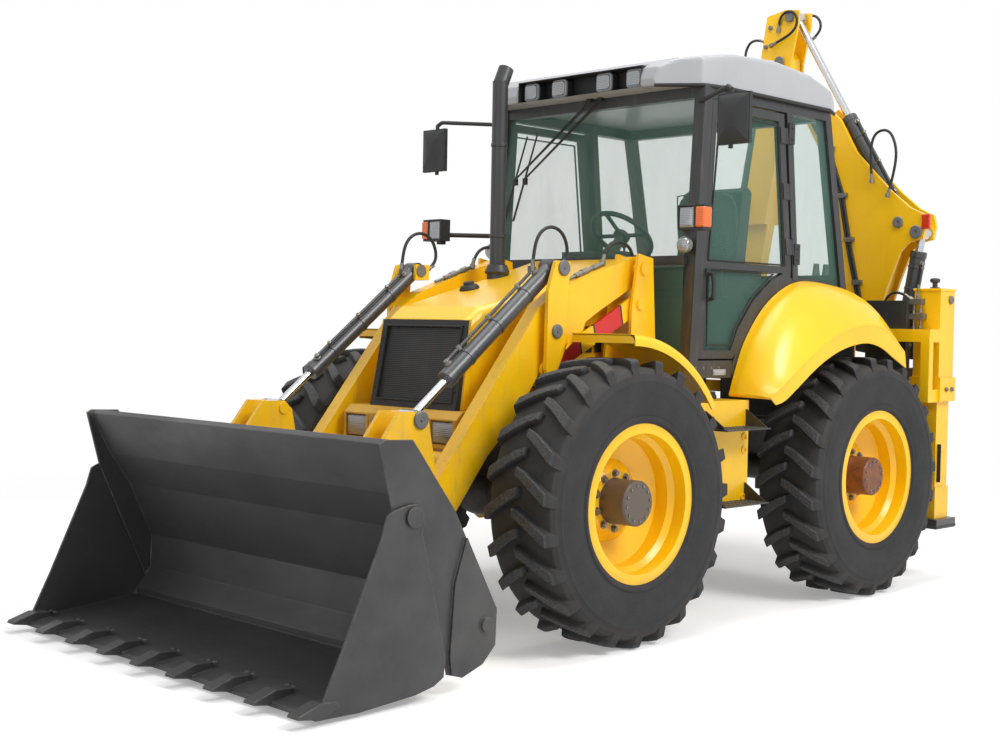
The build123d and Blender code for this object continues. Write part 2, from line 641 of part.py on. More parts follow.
def dipper():
    """Head plates outside the boom's tip, a box beam below them and the narrow nose that carries the bucket."""
    head = outline(
        [(-452, 3771), (-300, 3800), (-190, 3785), (-190, 3700), (-245, 3440), (-262, 3080), (-480, 3040),
         (-500, 3300), (-495, 3500)]
    )
    body = None
    for side in (-1, 1):
        near, far = sorted((BOOM_Y + side * (DIPPER_HALF - DIPPER_PLATE), BOOM_Y + side * DIPPER_HALF))
        plate = cross_plate(head, near, far)
        body = plate if body is None else body + plate
    beam = outline([(-500, 3160), (-340, 3160), (-300, 3060), (-434, 2310), (-629, 2310)])
    body += cross_plate(beam, BOOM_Y - DIPPER_HALF, BOOM_Y + DIPPER_HALF)
    nose = outline([(-434, 2320), (-480, 2060), (-510, 1740), (-560, 1690), (-630, 1690), (-665, 1760), (-655, 2060),
                    (-629, 2320)])
    body += cross_plate(nose, BOOM_Y - NOSE_HALF, BOOM_Y + NOSE_HALF)
    body -= pin_y(HOE_PIN, PIN_R - 6 + FIT, BOOM_Y - NOSE_HALF, BOOM_Y + NOSE_HALF)
    body -= pin_y(GUIDE_PIN, PIN_R - 10 + FIT, BOOM_Y - NOSE_HALF, BOOM_Y + NOSE_HALF)
    body += pin_y(DIPPER_PIVOT, PIN_R, BOOM_Y - DIPPER_HALF - 8, BOOM_Y + DIPPER_HALF + 8)
    for side in (-1, 1):
        near, far = sorted((BOOM_Y + side * DIPPER_HALF, BOOM_Y + side * (DIPPER_HALF + 8)))
        body += pin_y(DIPPER_RAM_EYE, 34, near, far)
        near, far = sorted((BOOM_Y + side * 44, BOOM_Y + side * 62))
        ear = outline([(-440, 3060), (-470, 3300), (-520, 3310), (-585, 3270), (-590, 3220), (-520, 3060)])
        body += cross_plate(ear, near, far)
    body += pin_y(HOE_RAM_BASE, PIN_R - 10, BOOM_Y - 66, BOOM_Y + 66)
    return [body]


def guide_links():
    """Pair of links from the dipper's nose to the bucket ram's eye."""
    face = strap(GUIDE_PIN, GUIDE_EYE, 34, 34)
    parts = []
    for side in (-1, 1):
        near, far = sorted((BOOM_Y + side * (NOSE_HALF + 7), BOOM_Y + side * (NOSE_HALF + 19)))
        parts.append(cross_plate(face, near, far))
    pin = pin_y(GUIDE_PIN, PIN_R - 10, BOOM_Y - NOSE_HALF - 22, BOOM_Y + NOSE_HALF + 22)
    return [parts[0] + parts[1] + pin]


def bucket_link():
    """Connecting link from the bucket to the ram's eye: two plates on a pin at the bucket."""
    face = strap(HOE_LINK_PIN, GUIDE_EYE, 30, 30)
    parts = [cross_plate(face, *sorted((BOOM_Y + s * 31, BOOM_Y + s * 43))) for s in (-1, 1)]
    pin = pin_y(HOE_LINK_PIN, PIN_R - 12, BOOM_Y - 80, BOOM_Y + 80)
    return [parts[0] + parts[1] + pin]


def hoe_bucket():
    """Digging bucket, curled with its mouth up: side plates, a bent wrapper, ears, and teeth on its lip."""
    x, z = HOE_PIN
    shell = [(75, -85), (62, -215), (130, -315), (260, -360), (400, -340), (500, -250), (590, 60), (602, 150)]
    inner = [(616, 146), (604, 56), (514, -262), (407, -355), (258, -376), (120, -328), (46, -220), (59, -85)]
    body = cross_plate(
        outline([(x + u, z + v) for u, v in shell + inner]), BOOM_Y - HOE_HALF + 14, BOOM_Y + HOE_HALF - 14
    )
    side_face = outline([(x + u, z + v) for u, v in [(130, 20), *inner[::-1]]])
    for side in (-1, 1):
        near, far = sorted((BOOM_Y + side * (HOE_HALF - 14), BOOM_Y + side * HOE_HALF))
        body += cross_plate(side_face, near, far)
        near, far = sorted((BOOM_Y + side * (NOSE_HALF + 7), BOOM_Y + side * (NOSE_HALF + 7 + EAR_T)))
        ear = outline([(x - 30, z + 52), (x + 20, z + 56), (x + 60, z + 10), (x + 56, z - 205), (x - 20, z - 214),
                       (x - 58, z - 190), (x - 62, z - 140), (x - 46, z)])
        body += cross_plate(ear, near, far)
    body -= pin_y(HOE_LINK_PIN, PIN_R - 12 + FIT, BOOM_Y - 80, BOOM_Y + 80)
    body += pin_y(HOE_PIN, PIN_R - 6, BOOM_Y - NOSE_HALF - 30, BOOM_Y + NOSE_HALF + 30)
    for n in (-1, 0, 1):
        y = BOOM_Y + n * (HOE_HALF - 30)
        tooth = outline([(x + u, z + v) for u, v in [(590, 60), (598, 150), (612, 260), (620, 260), (632, 150), (618, 60)]])
        body += cross_plate(tooth, y - 28, y + 28)
    return [body]


# ---- rear frame and stabilisers ----
def rear_frame():
    """Two cross rails for the carriage, between the housings of the stabiliser legs."""
    rails = None
    for z0, z1 in RAIL_HEIGHTS:
        rail = block(-LEG_X1, LEG_X1, SHIFT_Y0, SHIFT_Y1, z0, z1)
        rails = rail if rails is None else rails + rail
    for x in (-560, 520):
        rails += block(x, x + 40, FRAME_REAR, SHIFT_Y0, STEER_CLEAR_Z, 1580)
    for side in (-1, 1):
        x0, x1 = sorted((side * LEG_X0, side * LEG_X1))
        housing = block(x0, x1, LEG_Y0, LEG_Y1, COLLAR_BOTTOM, LEG_TOP)
        housing += block(x0 - 16, x1 + 16, LEG_Y0 - 8, LEG_Y1 + 8, COLLAR_BOTTOM, COLLAR_TOP)
        housing -= block(
            x0 + LEG_WALL, x1 - LEG_WALL, LEG_Y0 + LEG_WALL, LEG_Y1 - LEG_WALL, COLLAR_BOTTOM - 1, LEG_TOP - LEG_WALL
        )
        web_x = sorted((side * (LEG_X1 - 60), side * LEG_X1))
        for z0, z1 in RAIL_HEIGHTS:
            housing += block(*web_x, SHIFT_Y1 - 1, LEG_Y0 + 2, z0, z1)
        web = block(*web_x, SHIFT_Y0, SHIFT_Y1, RAIL_HEIGHTS[1][0], RAIL_HEIGHTS[0][1])
        rails += housing + web
    return [rails]


def leg(side):
    gap = LEG_WALL + LEG_GAP
    x0, x1 = sorted((side * (LEG_X0 + gap), side * (LEG_X1 - gap)))
    y0, y1 = LEG_Y0 + gap, LEG_Y1 - gap
    shaft = block(x0, x1, y0, y1, PAD_BOTTOM + 90, LEG_TOP - LEG_WALL - 30)
    cuff = block(x0 - 8, x1 + 8, y0 - 8, y1 + 8, PAD_BOTTOM + 60, PAD_BOTTOM + 260)
    pad = block(x0 - 45, x1 + 45, y0 - 45, y1 + 45, PAD_BOTTOM, PAD_BOTTOM + 60)
    return [shaft + cuff + pad]


# ---- cab ----
def cab_frame():
    """Floor, sills, pillars, roof rails and cowl of the cab."""
    inner = CAB_HALF - 44
    body = block(-inner, inner, 850, 1500, FLOOR_Z, FLOOR_Z + 50)
    body += block(-inner, inner, 1500, CAB_REAR - 20, SEAT_DECK - 40, SEAT_DECK)
    body += block(-inner, inner, 1470, 1500, FLOOR_Z, SEAT_DECK)
    body += block(-inner, inner, CAB_REAR - 60, CAB_REAR - 20, SEAT_DECK - 200, 1900)
    body += block(-CAB_HALF, CAB_HALF, 770, 850, FLOOR_Z, FLOOR_Z + 50)
    body += block(-CAB_HALF + 60, CAB_HALF - 60, 778, 812, 1900, 1950)
    body += block(-CAB_HALF, CAB_HALF, 872, 932, 2805, 2865)
    body += block(-CAB_HALF, CAB_HALF, 2030, 2090, 2805, 2865)
    a_pillar = outline([(772, FLOOR_Z), (846, FLOOR_Z), (938, 2865), (866, 2865)])
    b_pillar = outline([(1738, 1850), (1793, 1850), (1686, 2865), (1631, 2865)])
    c_pillar = outline([(2260, 1780), (2320, 1780), (2090, 2865), (2030, 2865)])
    sill = outline([(800, FLOOR_Z), (1150, FLOOR_Z), (1160, 1385), (800, 1385)])
    arch = outline([*CAB_ARCH, *[(y + 30, z - 36) for y, z in reversed(CAB_ARCH)]])
    for side in (-1, 1):
        x0, x1 = sorted((side * (CAB_HALF - PILLAR), side * CAB_HALF))
        body += side_plate(a_pillar, x0, x1) + side_plate(b_pillar, x0, x1) + side_plate(c_pillar, x0, x1)
        body += block(x0, x1, 880, 2080, 2805, 2865) + side_plate(sill, x0, x1)
        body += side_plate(arch, *sorted((side * (CAB_HALF - 46), side * (CAB_HALF - 4))))
    for side in (-1, 1):
        for share in HINGE_PLACES:
            body -= hinge(side, share, 2.5)
    return [body]


def cab_roof():
    """Moulded roof cap, narrower in front, with a brow that shades the work lamps."""
    profile = outline(
        [(700, ROOF_Z), (690, 2900), (712, 2965), (790, 3016), (1100, 3062), (1472, 3081), (1850, 3050), (2150, 2965),
         (2200, 2880), (2200, ROOF_Z)]
    )
    plan = outline([(-560, 690), (560, 690), (760, 860), (800, 1000), (800, 2060), (740, 2200), (-740, 2200),
                    (-800, 2060), (-800, 1000), (-760, 860)])
    cap = side_plate(profile, -800, 800) & floor_plate(plan, 2860, 3090)
    upper = [e for e in cap.edges() if e.center().Z > 2920 and abs(e.center().X) > 500]
    cap = fillet(upper, 28)
    cap -= block(-470, 470, 680, 806, ROOF_Z + 1, 2985)
    return [cap]


def cab_glass():
    """Fixed panes: windscreen, lower front corners, rear quarters and rear window."""
    x = CAB_HALF - PILLAR
    panes = [slanted_pane(-x, x, (800, 1950), (890, 2805))]
    for side in (-1, 1):
        x0, x1 = sorted((side * 440, side * x))
        panes.append(block(x0, x1, 790, 796, FLOOR_Z + 50, 1900))
        quarter = outline([(1794, 1868), (1907, 1868), (2128, 1852), (2249, 1824), (2036, 2804), (1693, 2804)])
        panes.append(side_plate(quarter, *sorted((side * (CAB_HALF - 24), side * (CAB_HALF - 18)))))
    panes.append(slanted_pane(-x, x, (2270, 1900), (2066, 2805)))
    return panes


def slanted_pane(x0, x1, low, high):
    """Flat pane across the cab between two (y, z) edges."""
    return side_plate(outline([low, (low[0] + GLASS_T, low[1]), (high[0] + GLASS_T, high[1]), high]), x0, x1)


def hinge(side, share, gap=0):
    """One round knuckle on the door's leaning axis and the leaf that joins it to the door, grown by a gap."""
    length = math.dist(HINGE_LOW, HINGE_HIGH)
    ends = [share - (HINGE_HALF + gap) / length, share + (HINGE_HALF + gap) / length]
    (y0, z0), (y1, z1) = [along(HINGE_LOW, HINGE_HIGH, length * t) for t in ends]
    x = side * (CAB_HALF - 4)
    knuckle = bar((x, y0, z0), (x, y1, z1), HINGE_R + gap)
    leaf = side_plate(outline([(y0 - 64, z0), (y0, z0), (y1, z1), (y1 - 64, z1)]), *sorted((x - side * gap, x + side * (6 + gap))))
    return knuckle + leaf


def door(side):
    """Door frame that follows the fender's arch, with a belt rail and its hinges."""
    x0, x1 = sorted((side * (CAB_HALF - 40), side * (CAB_HALF - 4)))
    outer = [(856, 1395), (1166, 1395), (1196, 1420), (1252, 1535), (1392, 1692), (1556, 1802), (1716, 1862), (1722, 1912),
             (1614, 2795), (942, 2795)]
    body = side_plate(outline(outer), x0, x1) - side_plate(outline(DOOR_OPENING), x0, x1)
    body += side_plate(outline(DOOR_BELT), x0, x1) & side_plate(outline(outer), x0, x1)
    for share in HINGE_PLACES:
        body += hinge(side, share)
    return [body]


def door_glass(side):
    """Upper and lower pane, cut from the door's opening by its belt rail."""
    x0, x1 = sorted((side * (CAB_HALF - 26), side * (CAB_HALF - 20)))
    return [side_plate(outline(DOOR_OPENING), x0, x1) - side_plate(outline(DOOR_BELT), x0, x1)]


def interior():
    """Seat, console, dash and steering wheel, as one group of plain solids."""
    seat = block(-250, 250, 1560, 2020, SEAT_DECK, SEAT_DECK + 60) + block(-235, 235, 1540, 2000, SEAT_DECK + 60, 1900)
    back = side_plate(outline([(1920, 1890), (2020, 1890), (2085, 2410), (2045, 2440), (1990, 2410)]), -230, 230)
    dash = side_plate(outline([(818, FLOOR_Z + 50), (980, FLOOR_Z + 50), (1000, 1700), (960, 1990), (818, 1990)]), -200, 200)
    column = bar((0, 950, 1900), (0, 1110, 2090), 28)
    rim = Plane((0, 1115, 2096), z_dir=(0, 0.64, 0.77)) * Torus(190, 15)
    spokes = bar((-185, 1115, 2096), (185, 1115, 2096), 12) + bar((0, 1115, 2096), (0, 1115 - 143, 2096 + 118), 12)
    return [seat + back, dash + column + rim + spokes]


# ---- engine bay and body panels ----
def hood_form(offset):
    """Hood volume as a ruled loft of round-shouldered sections, drawn in by an offset on the sides and top."""
    faces = []
    for y, half, top in HOOD_SECTIONS:
        w, h = half - offset, top - offset
        face = outline([(-w, HOOD_BOTTOM - offset), (w, HOOD_BOTTOM - offset), (w - 14, h), (14 - w, h)], [1, 1, 62 - offset, 62 - offset])
        faces.append(Plane((0, y, 0), x_dir=(1, 0, 0), z_dir=(0, -1, 0)) * face)
    return loft(faces, ruled=True)


def hood():
    cheek = side_plate(outline([(-480, HOOD_BOTTOM), (-424, 1581), (-420, 1581), (-420, HOOD_BOTTOM)]), 326.5, 338)
    return [hood_form(0) - hood_form(12) + cheek + mirrored(cheek)]


def grille():
    """Bezel with a recessed screen of crossing bars in front of the radiator."""
    def front(z):
        return -513 + (z - 1129) * 89 / 452
    bezel = side_plate(outline([(-513, HOOD_BOTTOM), (-424.5, 1579), (-424, 1579), (-471, HOOD_BOTTOM)]), -326, 326)
    window = block(-282, 282, -600, -400, 1170, 1540)
    body = bezel - window
    for n in range(GRILLE_BARS):
        z = 1170 + 370 * (n + 0.5) / GRILLE_BARS
        body += block(-284, 284, front(z) + 16, front(z) + 22, z - 5, z + 5)
    for n in range(GRILLE_POSTS):
        x = -282 + 564 * (n + 0.5) / GRILLE_POSTS
        body += side_plate(outline([(front(1168) + 19, 1168), (front(1542) + 19, 1542), (front(1542) + 25, 1542),
                                    (front(1168) + 25, 1168)]), x - 4, x + 4)
    return [body]


def front_panel():
    """Bolster below the grille that holds the head lamps, bolted to the frame's front cross member."""
    face = outline([(-560, 905), (-600, 950), (-600, 1090), (-560, 1127), (-430, 1127), (-430, 905)])
    body = side_plate(face, -430, 430)
    for side in (-1, 1):
        body -= block(*sorted((side * 250, side * 410)), -601, -575, 965, 1080)
    return [body]


def engine():
    return [block(-230, 230, -250, 620, RAIL_TOP - 20, 1500)]


def exhaust():
    """Upright stack with a heat shield and a cut-back mouth."""
    pipe = bar((-280, 367, 1800), (-280, 367, 2930), 44) + bar((-280, 367, 1800), (-280, 367, 1865), 58)
    mouth = bar((-280, 367, 2910), (-280, 410, 3005), 44)
    bore = bar((-280, 367, 2890), (-280, 367, 2931), 38) + bar((-280, 367, 2905), (-280, 414, 3013), 38)
    return [pipe + mouth - bore - hood_form(0)]


def fender_band(x, f):
    """Section of the rear fender's skin at one x, a share f of the way from the cab to the lip."""
    top = [(a + (c - a) * f, b + (d - b) * f) for (a, b), (c, d) in zip(FENDER_INNER, FENDER_LIP)]
    under = [(2170 + (y - 2170) * 0.986, z - 14) for y, z in top]
    edge = Polyline(*top, *reversed(under), close=True)
    return Plane((x, 0, 0), x_dir=(0, 1, 0), z_dir=(1, 0, 0)) * make_face(edge)


def front_fender():
    """Mudguard of bent sheet round the front tyre, with a lip, a front edge and a stay to the tower."""
    centre = (0, TYRE_R)
    x0, x1 = FRONT_FENDER_X
    zone = block(x0, x1, 0, FRONT_FENDER_R, FRONT_FENDER_END, FRONT_FENDER_R + TYRE_R)
    skin = (pin_x(centre, FRONT_FENDER_R, x0, x1) - pin_x(centre, FRONT_FENDER_R - 8, x0, x1)) & zone
    lip = (pin_x(centre, FRONT_FENDER_R, x1 - 8, x1) - pin_x(centre, FRONT_FENDER_R - 58, x1 - 8, x1)) & zone
    top = FRONT_FENDER_R + TYRE_R
    edge = block(x0, x1, 0, 8, top - 48, top - 1)
    ear = side_plate(outline([(8, top - 1), (8, top - 44), (-46, top - 84), (0, top - 1)]), x0, x0 + 8)
    stay_x = TOWER_X1 + TOWER_T
    stay = pin_x(centre, FRONT_FENDER_R - 4, stay_x, x0 + 30) - pin_x(centre, FRONT_FENDER_R - 48, stay_x, x0 + 30)
    stay &= block(stay_x, x0 + 30, 495, 600, FRONT_FENDER_END, top)
    return skin + lip + edge + ear + stay


def fenders():
    """Front mudguards, and full rear fenders that swell from the cab to a deep lip."""
    rear = loft([fender_band(x, f) for x, f in FENDER_STATIONS], ruled=True)
    x1 = FENDER_STATIONS[-1][0]
    flange = side_plate(outline([*FENDER_LIP, *reversed(FENDER_EDGE)]), x1 - 10, x1)
    return both(front_fender(), rear + flange)


def side_tanks():
    """Tank beside each rail, with a notch behind the front tyre and two hangers to the rail."""
    face = outline(
        [(TANK_Y0 - 40, TANK_TOP), (TANK_Y1, TANK_TOP), (TANK_Y1, TANK_BOTTOM), (TANK_Y0 + 20, TANK_BOTTOM),
         (TANK_Y0, 1020), (930, 1020), (930, 1036), (TANK_Y0 - 40, TANK_TOP - 60)]
    )
    box = side_plate(face, 480, TANK_X)
    for y in (TANK_Y0 + 60, TANK_Y1 - 60):
        box += block(RAIL_X + RAIL_T, 480, y - 20, y + 20, 900, 960)
    return both(box)


def steps():
    """Treads on the tank's side, each on two gussets."""
    treads = []
    for z in STEP_HEIGHTS:
        tread = block(TANK_X, TANK_X + STEP_REACH, TANK_Y0 + 10, TANK_Y1 - 20, z - 8, z)
        for y in (TANK_Y0 + 24, TANK_Y1 - 28):
            gusset = outline([(TANK_X, z - 8), (TANK_X + STEP_REACH - 6, z - 8), (TANK_X + 8, z + 92), (TANK_X, z + 92)])
            tread += cross_plate(gusset, y, y + 6)
        treads.append(tread)
    return both(*treads)


def cab_fittings():
    """Mirrors on tube arms, work lamps in the roof's brow and lamp clusters on stalks beside the hood."""
    parts = []
    for x in (170, 390):
        parts.append(pin_y((x, 2925), 52, 740, 806))
    stalk = bar((CAB_HALF - 35, 868, 2780), (1080, 660, 2800), 12) + bar((1080, 660, 2800), (1110, 650, 2780), 12)
    stalk += bar((1110, 650, 2785), (1110, 650, 2480), 12) + block(1030, 1230, 640, 662, 2500, 2760)
    parts.append(stalk)
    lamp = bar((CAB_HALF - 30, 812, 2100), (960, 560, 2100), 14) + block(900, 1060, 500, 575, 2060, 2190)
    parts.append(lamp)
    carrier = cab_frame()[0]
    return both(*[part - carrier for part in parts])


def main():
    os.makedirs("parts", exist_ok=True)
    knees = bellcrank()
    boom_barrel, boom_rod = boom_ram()
    dipper_barrel, dipper_rod = dipper_ram()
    hoe_barrel, hoe_rod = hoe_ram()
    rubber = tyre_form()
    nodes = {
        "main_frame": frame(),
        "loader_towers": both(tower()[0]),
        "axles": axle_beam(0) + axle_beam(WHEELBASE),
        "engine_block": engine(),
        "hood": hood(),
        "grille": grille(),
        "front_panel": front_panel(),
        "exhaust": exhaust(),
        "cab_frame": cab_frame(),
        "cab_roof": cab_roof(),
        "cab_glass": cab_glass(),
        "cab_interior": interior(),
        "fenders": fenders(),
        "side_tanks": side_tanks(),
        "steps": steps(),
        "cab_fittings": cab_fittings(),
        "door_left": door(1),
        "door_right": door(-1),
        "door_glass_left": door_glass(1),
        "door_glass_right": door_glass(-1),
        "loader_arms": arms(),
        "bellcranks": both(knees),
        "levelling_links": both(levelling_link()),
        "tilt_pins": both(tilt_pin()),
        "tilt_barrels": both(tilt_barrel()),
        "tilt_rods": both(tilt_rod()),
        "lift_barrels": both(lift_barrel()),
        "lift_rods": both(lift_rod()),
        "bucket_pins": both(bucket_pin_bar()),
        "bucket_brackets": both(bucket_brackets()[0]),
        "bucket_back": bucket_back(),
        "bucket_clam": clam(),
        "rear_frame": rear_frame(),
        "carriage": carriage(),
        "swing_post": swing_post(),
        "boom": boom(),
        "boom_barrel": [boom_barrel],
        "boom_rod": [boom_rod],
        "dipper": dipper(),
        "dipper_barrel": [dipper_barrel],
        "dipper_rod": [dipper_rod],
        "hoe_barrel": [hoe_barrel],
        "hoe_rod": [hoe_rod],
        "guide_links": guide_links(),
        "bucket_link": bucket_link(),
        "hoe_bucket": hoe_bucket(),
        "leg_left": leg(1),
        "leg_right": leg(-1),
    }
    for place, side, y in WHEEL_PLACES:
        nodes[f"tyre_{place}"] = tyre(side, y, rubber)
        nodes[f"wheel_{place}"] = wheel(side, y)
        nodes[f"knuckle_{place}"] = knuckle(side, y)
    for name, shapes in nodes.items():
        export(name, shapes)


if __name__ == "__main__":
    main()
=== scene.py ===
"""Backhoe loader with equal wheels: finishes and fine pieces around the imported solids.

Places are in millimetres until at() turns them into metres; radii, profiles and wall sizes are in metres.
"""

import json
import math
import bmesh
import bpy
from mathutils import Matrix, Vector


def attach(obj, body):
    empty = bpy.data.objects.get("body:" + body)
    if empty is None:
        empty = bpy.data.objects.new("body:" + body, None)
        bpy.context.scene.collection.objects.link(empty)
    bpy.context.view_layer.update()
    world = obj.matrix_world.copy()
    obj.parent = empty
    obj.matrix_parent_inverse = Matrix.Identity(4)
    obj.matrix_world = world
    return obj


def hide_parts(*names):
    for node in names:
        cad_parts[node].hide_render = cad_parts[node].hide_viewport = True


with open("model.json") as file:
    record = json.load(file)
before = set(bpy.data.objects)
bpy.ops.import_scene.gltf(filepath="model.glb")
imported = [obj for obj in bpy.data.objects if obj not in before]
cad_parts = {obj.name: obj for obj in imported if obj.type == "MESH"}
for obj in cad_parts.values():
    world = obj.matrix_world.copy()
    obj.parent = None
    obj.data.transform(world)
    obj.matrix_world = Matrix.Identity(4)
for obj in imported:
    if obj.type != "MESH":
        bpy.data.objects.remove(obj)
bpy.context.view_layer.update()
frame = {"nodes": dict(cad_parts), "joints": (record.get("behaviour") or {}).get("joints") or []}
joints = {joint["name"]: joint for joint in frame["joints"]}
front_axle = Vector(joints["spin_fl"]["pos_m"])
rear_axle = Vector(joints["spin_rl"]["pos_m"])
SIDES = ((1, "left"), (-1, "right"))
UP = Vector((0, 0, 1))


def at(x, y, z):
    """Point in metres: x across from the middle, y rearwards from the front axle, z up from the ground."""
    return Vector((x / 1000, front_axle.y + y / 1000, z / 1000))


def circle(count, shift=0.0):
    """Angles of so many places round a circle, turned on by a share of one step."""
    return [2 * math.pi * (n + shift) / count for n in range(count)]


# ---- values and nodes ----
class Field:
    """A value that varies over a surface: one socket, on which sums add Math nodes."""

    def __init__(self, owner, socket):
        self.owner, self.socket = owner, socket

    def __add__(self, other):
        return self.owner.sum("ADD", self, other)

    __radd__ = __add__

    def __sub__(self, other):
        return self.owner.sum("SUBTRACT", self, other)

    def __rsub__(self, other):
        return self.owner.sum("SUBTRACT", other, self)

    def __mul__(self, other):
        return self.owner.sum("MULTIPLY", self, other)

    __rmul__ = __mul__

    def __truediv__(self, other):
        return self.owner.sum("DIVIDE", self, other)

    def __pow__(self, other):
        return self.owner.sum("POWER", self, other)

    def __abs__(self):
        return self.owner.sum("ABSOLUTE", self)

    def __lt__(self, other):
        return self.owner.sum("LESS_THAN", self, other)

    def step(self, low, high):
        """0 below low, 1 above high and even between; the other way round where high is the smaller."""
        return self.owner.sum("MULTIPLY", (self - low) / (high - low), 1.0, clamp=True)

    def wave(self):
        return self.owner.sum("SINE", self)

    def part(self):
        """What is left of the value after its whole number."""
        return self.owner.sum("FRACT", self)


class Nodes:
    """The nodes of one material or world."""

    def __init__(self, tree):
        self.tree = tree

    def feed(self, socket, value):
        if isinstance(value, Field):
            self.tree.links.new(value.socket, socket)
        else:
            socket.default_value = value

    def node(self, kind, settings=None, out=0, **sockets):
        """One output of a new node; its sockets go by name, or by number as i0, i1 and so on."""
        made = self.tree.nodes.new("ShaderNode" + kind)
        for label, value in (settings or {}).items():
            setattr(made, label, value)
        for label, value in sockets.items():
            key = int(label[1:]) if label[1:].isdigit() else label.replace("_", " ")
            self.feed(made.inputs[key], value)
        return Field(self, made.outputs[out]) if made.outputs else None

    def sum(self, operation, *values, clamp=False):
        sockets = {f"i{n}": value for n, value in enumerate(values)}
        return self.node("Math", {"operation": operation, "use_clamp": clamp}, **sockets)

    def seen_directly(self):
        """1 for rays from the camera, off a gloss or through glass, 0 for the rest."""
        camera, gloss, through = (
            self.node("LightPath", out=f"Is {kind} Ray") for kind in ("Camera", "Glossy", "Transmission")
        )
        return self.sum("MAXIMUM", self.sum("MAXIMUM", camera, gloss), through)


class Finish(Nodes):
    """A material whose Principled shader takes constants by name and fields where they vary."""

    def __init__(self, name, **constants):
        self.material = bpy.data.materials.new(name)
        self.material.use_nodes = True
        super().__init__(self.material.node_tree)
        self.shader = self.tree.nodes["Principled BSDF"]
        for label, value in constants.items():
            self.shader.inputs[label.replace("_", " ")].default_value = value
        self.place = self.node("TexCoord", out="Object")

    def mix(self, mask, first, second):
        """Colour that goes from first to second as the mask goes from 0 to 1."""
        return self.node("Mix", {"data_type": "RGBA"}, 2, i0=mask, i6=first, i7=second)

    def along(self, axis):
        """Coordinate in metres along X, Y or Z."""
        return self.node("SeparateXYZ", out=axis, Vector=self.place)

    def noise(self, scale, detail=4.0, roughness=0.55, stretch=None):
        place = self.node("Mapping", Vector=self.place, Scale=stretch) if stretch else self.place
        return self.node("TexNoise", Vector=place, Scale=scale, Detail=detail, Roughness=roughness)

    def edges(self, radius):
        """1 where a sharp edge is within the radius, 0 on flats."""
        rounded = self.node("Bevel", {"samples": 4}, Radius=radius)
        flat = self.node("NewGeometry", out="Normal")
        near = self.node("VectorMath", {"operation": "DOT_PRODUCT"}, "Value", i0=rounded, i1=flat)
        return near.step(0.998, 0.86)

    def relief(self, height, strength, distance=0.002, soft_edge=None):
        """Feeds the shader's normal with a height field, over edges that are rounded by soft_edge."""
        sockets = {"Height": height, "Strength": strength, "Distance": distance}
        if soft_edge:
            sockets["Normal"] = self.node("Bevel", {"samples": 4}, Radius=soft_edge)
        self.set("Normal", self.node("Bump", **sockets))

    def set(self, label, value):
        self.feed(self.shader.inputs[label], value)


# ---- camera, floor and light ----
WHITE = (1, 1, 1, 1)


def camera():
    """Camera ahead of the front left corner, with its turn, dip and roll in degrees."""
    data = bpy.data.cameras.new("camera")
    data.lens = 52.069
    data.sensor_width = 36
    data.shift_x, data.shift_y = 0.000236, -0.00003
    data.clip_end = 200
    view = bpy.data.objects.new("camera", data)
    bpy.context.scene.collection.objects.link(view)
    turn, dip, roll = (math.radians(angle) for angle in (45.0243, 1.9288, 1.0359))
    back = Vector((math.sin(turn) * math.cos(dip), -math.cos(turn) * math.cos(dip), math.sin(dip)))
    level = (-back).cross(UP).normalized()
    upright = level.cross(-back)
    right = math.cos(roll) * level + math.sin(roll) * upright
    up = math.cos(roll) * upright - math.sin(roll) * level
    place = Matrix((right, up, back)).transposed().to_4x4()
    place.translation = at(5538.9, -5410.9, 1551.3)
    view.matrix_world = place
    bpy.context.scene.camera = view


def area_lamp(name, place, size, watts):
    """Round lamp that looks at the middle of the machine."""
    data = bpy.data.lights.new(name, "AREA")
    data.shape, data.size, data.energy = "DISK", size, watts
    lamp = bpy.data.objects.new(name, data)
    bpy.context.scene.collection.objects.link(lamp)
    lamp.location = place
    lamp.rotation_euler = (Vector((0, 0, 1.2)) - Vector(place)).to_track_quat("-Z", "Y").to_euler()


def background():
    """White where it is seen, and dimmer as a light."""
    world = bpy.data.worlds.new("studio")
    bpy.context.scene.world = world
    world.use_nodes = True
    world.node_tree.nodes.clear()
    sky = Nodes(world.node_tree)
    dim, bright = (sky.node("Background", Color=WHITE, Strength=strength) for strength in (0.46, 1.0))
    sky.node("OutputWorld", Surface=sky.node("MixShader", i0=sky.seen_directly(), i1=dim, i2=bright))


def floor():
    """Matt white ground that runs into the background from 4 m off its middle to 8 m."""
    reach = 60.0
    mesh = bpy.data.meshes.new("floor")
    corners = [(x * reach, y * reach, 0) for x, y in ((-1, -1), (1, -1), (1, 1), (-1, 1))]
    mesh.from_pydata(corners, [], [(0, 1, 2, 3)])
    ground = bpy.data.objects.new("floor", mesh)
    ground.location.z = -0.0015
    bpy.context.scene.collection.objects.link(ground)
    matt = Finish("floor", Base_Color=(0.86, 0.86, 0.86, 1), Roughness=0.9, Specular_IOR_Level=0.1)
    matt.set("Emission Color", WHITE)
    matt.set("Emission Strength", matt.seen_directly() * 0.3)
    from_middle = matt.node("VectorMath", {"operation": "LENGTH"}, "Value", i0=matt.place)
    share = matt.node("MapRange", Value=from_middle, From_Min=4.0, From_Max=8.0)
    ground_shade = Field(matt, matt.shader.outputs[0])
    faded = matt.node("MixShader", i0=share, i1=ground_shade, i2=matt.node("Emission"))
    matt.feed(matt.tree.nodes["Material Output"].inputs["Surface"], faded)
    mesh.materials.append(matt.material)


def studio():
    bpy.context.scene.view_settings.view_transform = "Standard"
    background()
    area_lamp("key", (7.5, 0.5, 7.5), 4.5, 600)
    area_lamp("top", (0, 0.5, 9.0), 6.5, 400)
    area_lamp("front", (1.5, -9.0, 3.4), 4.0, 70)
    floor()


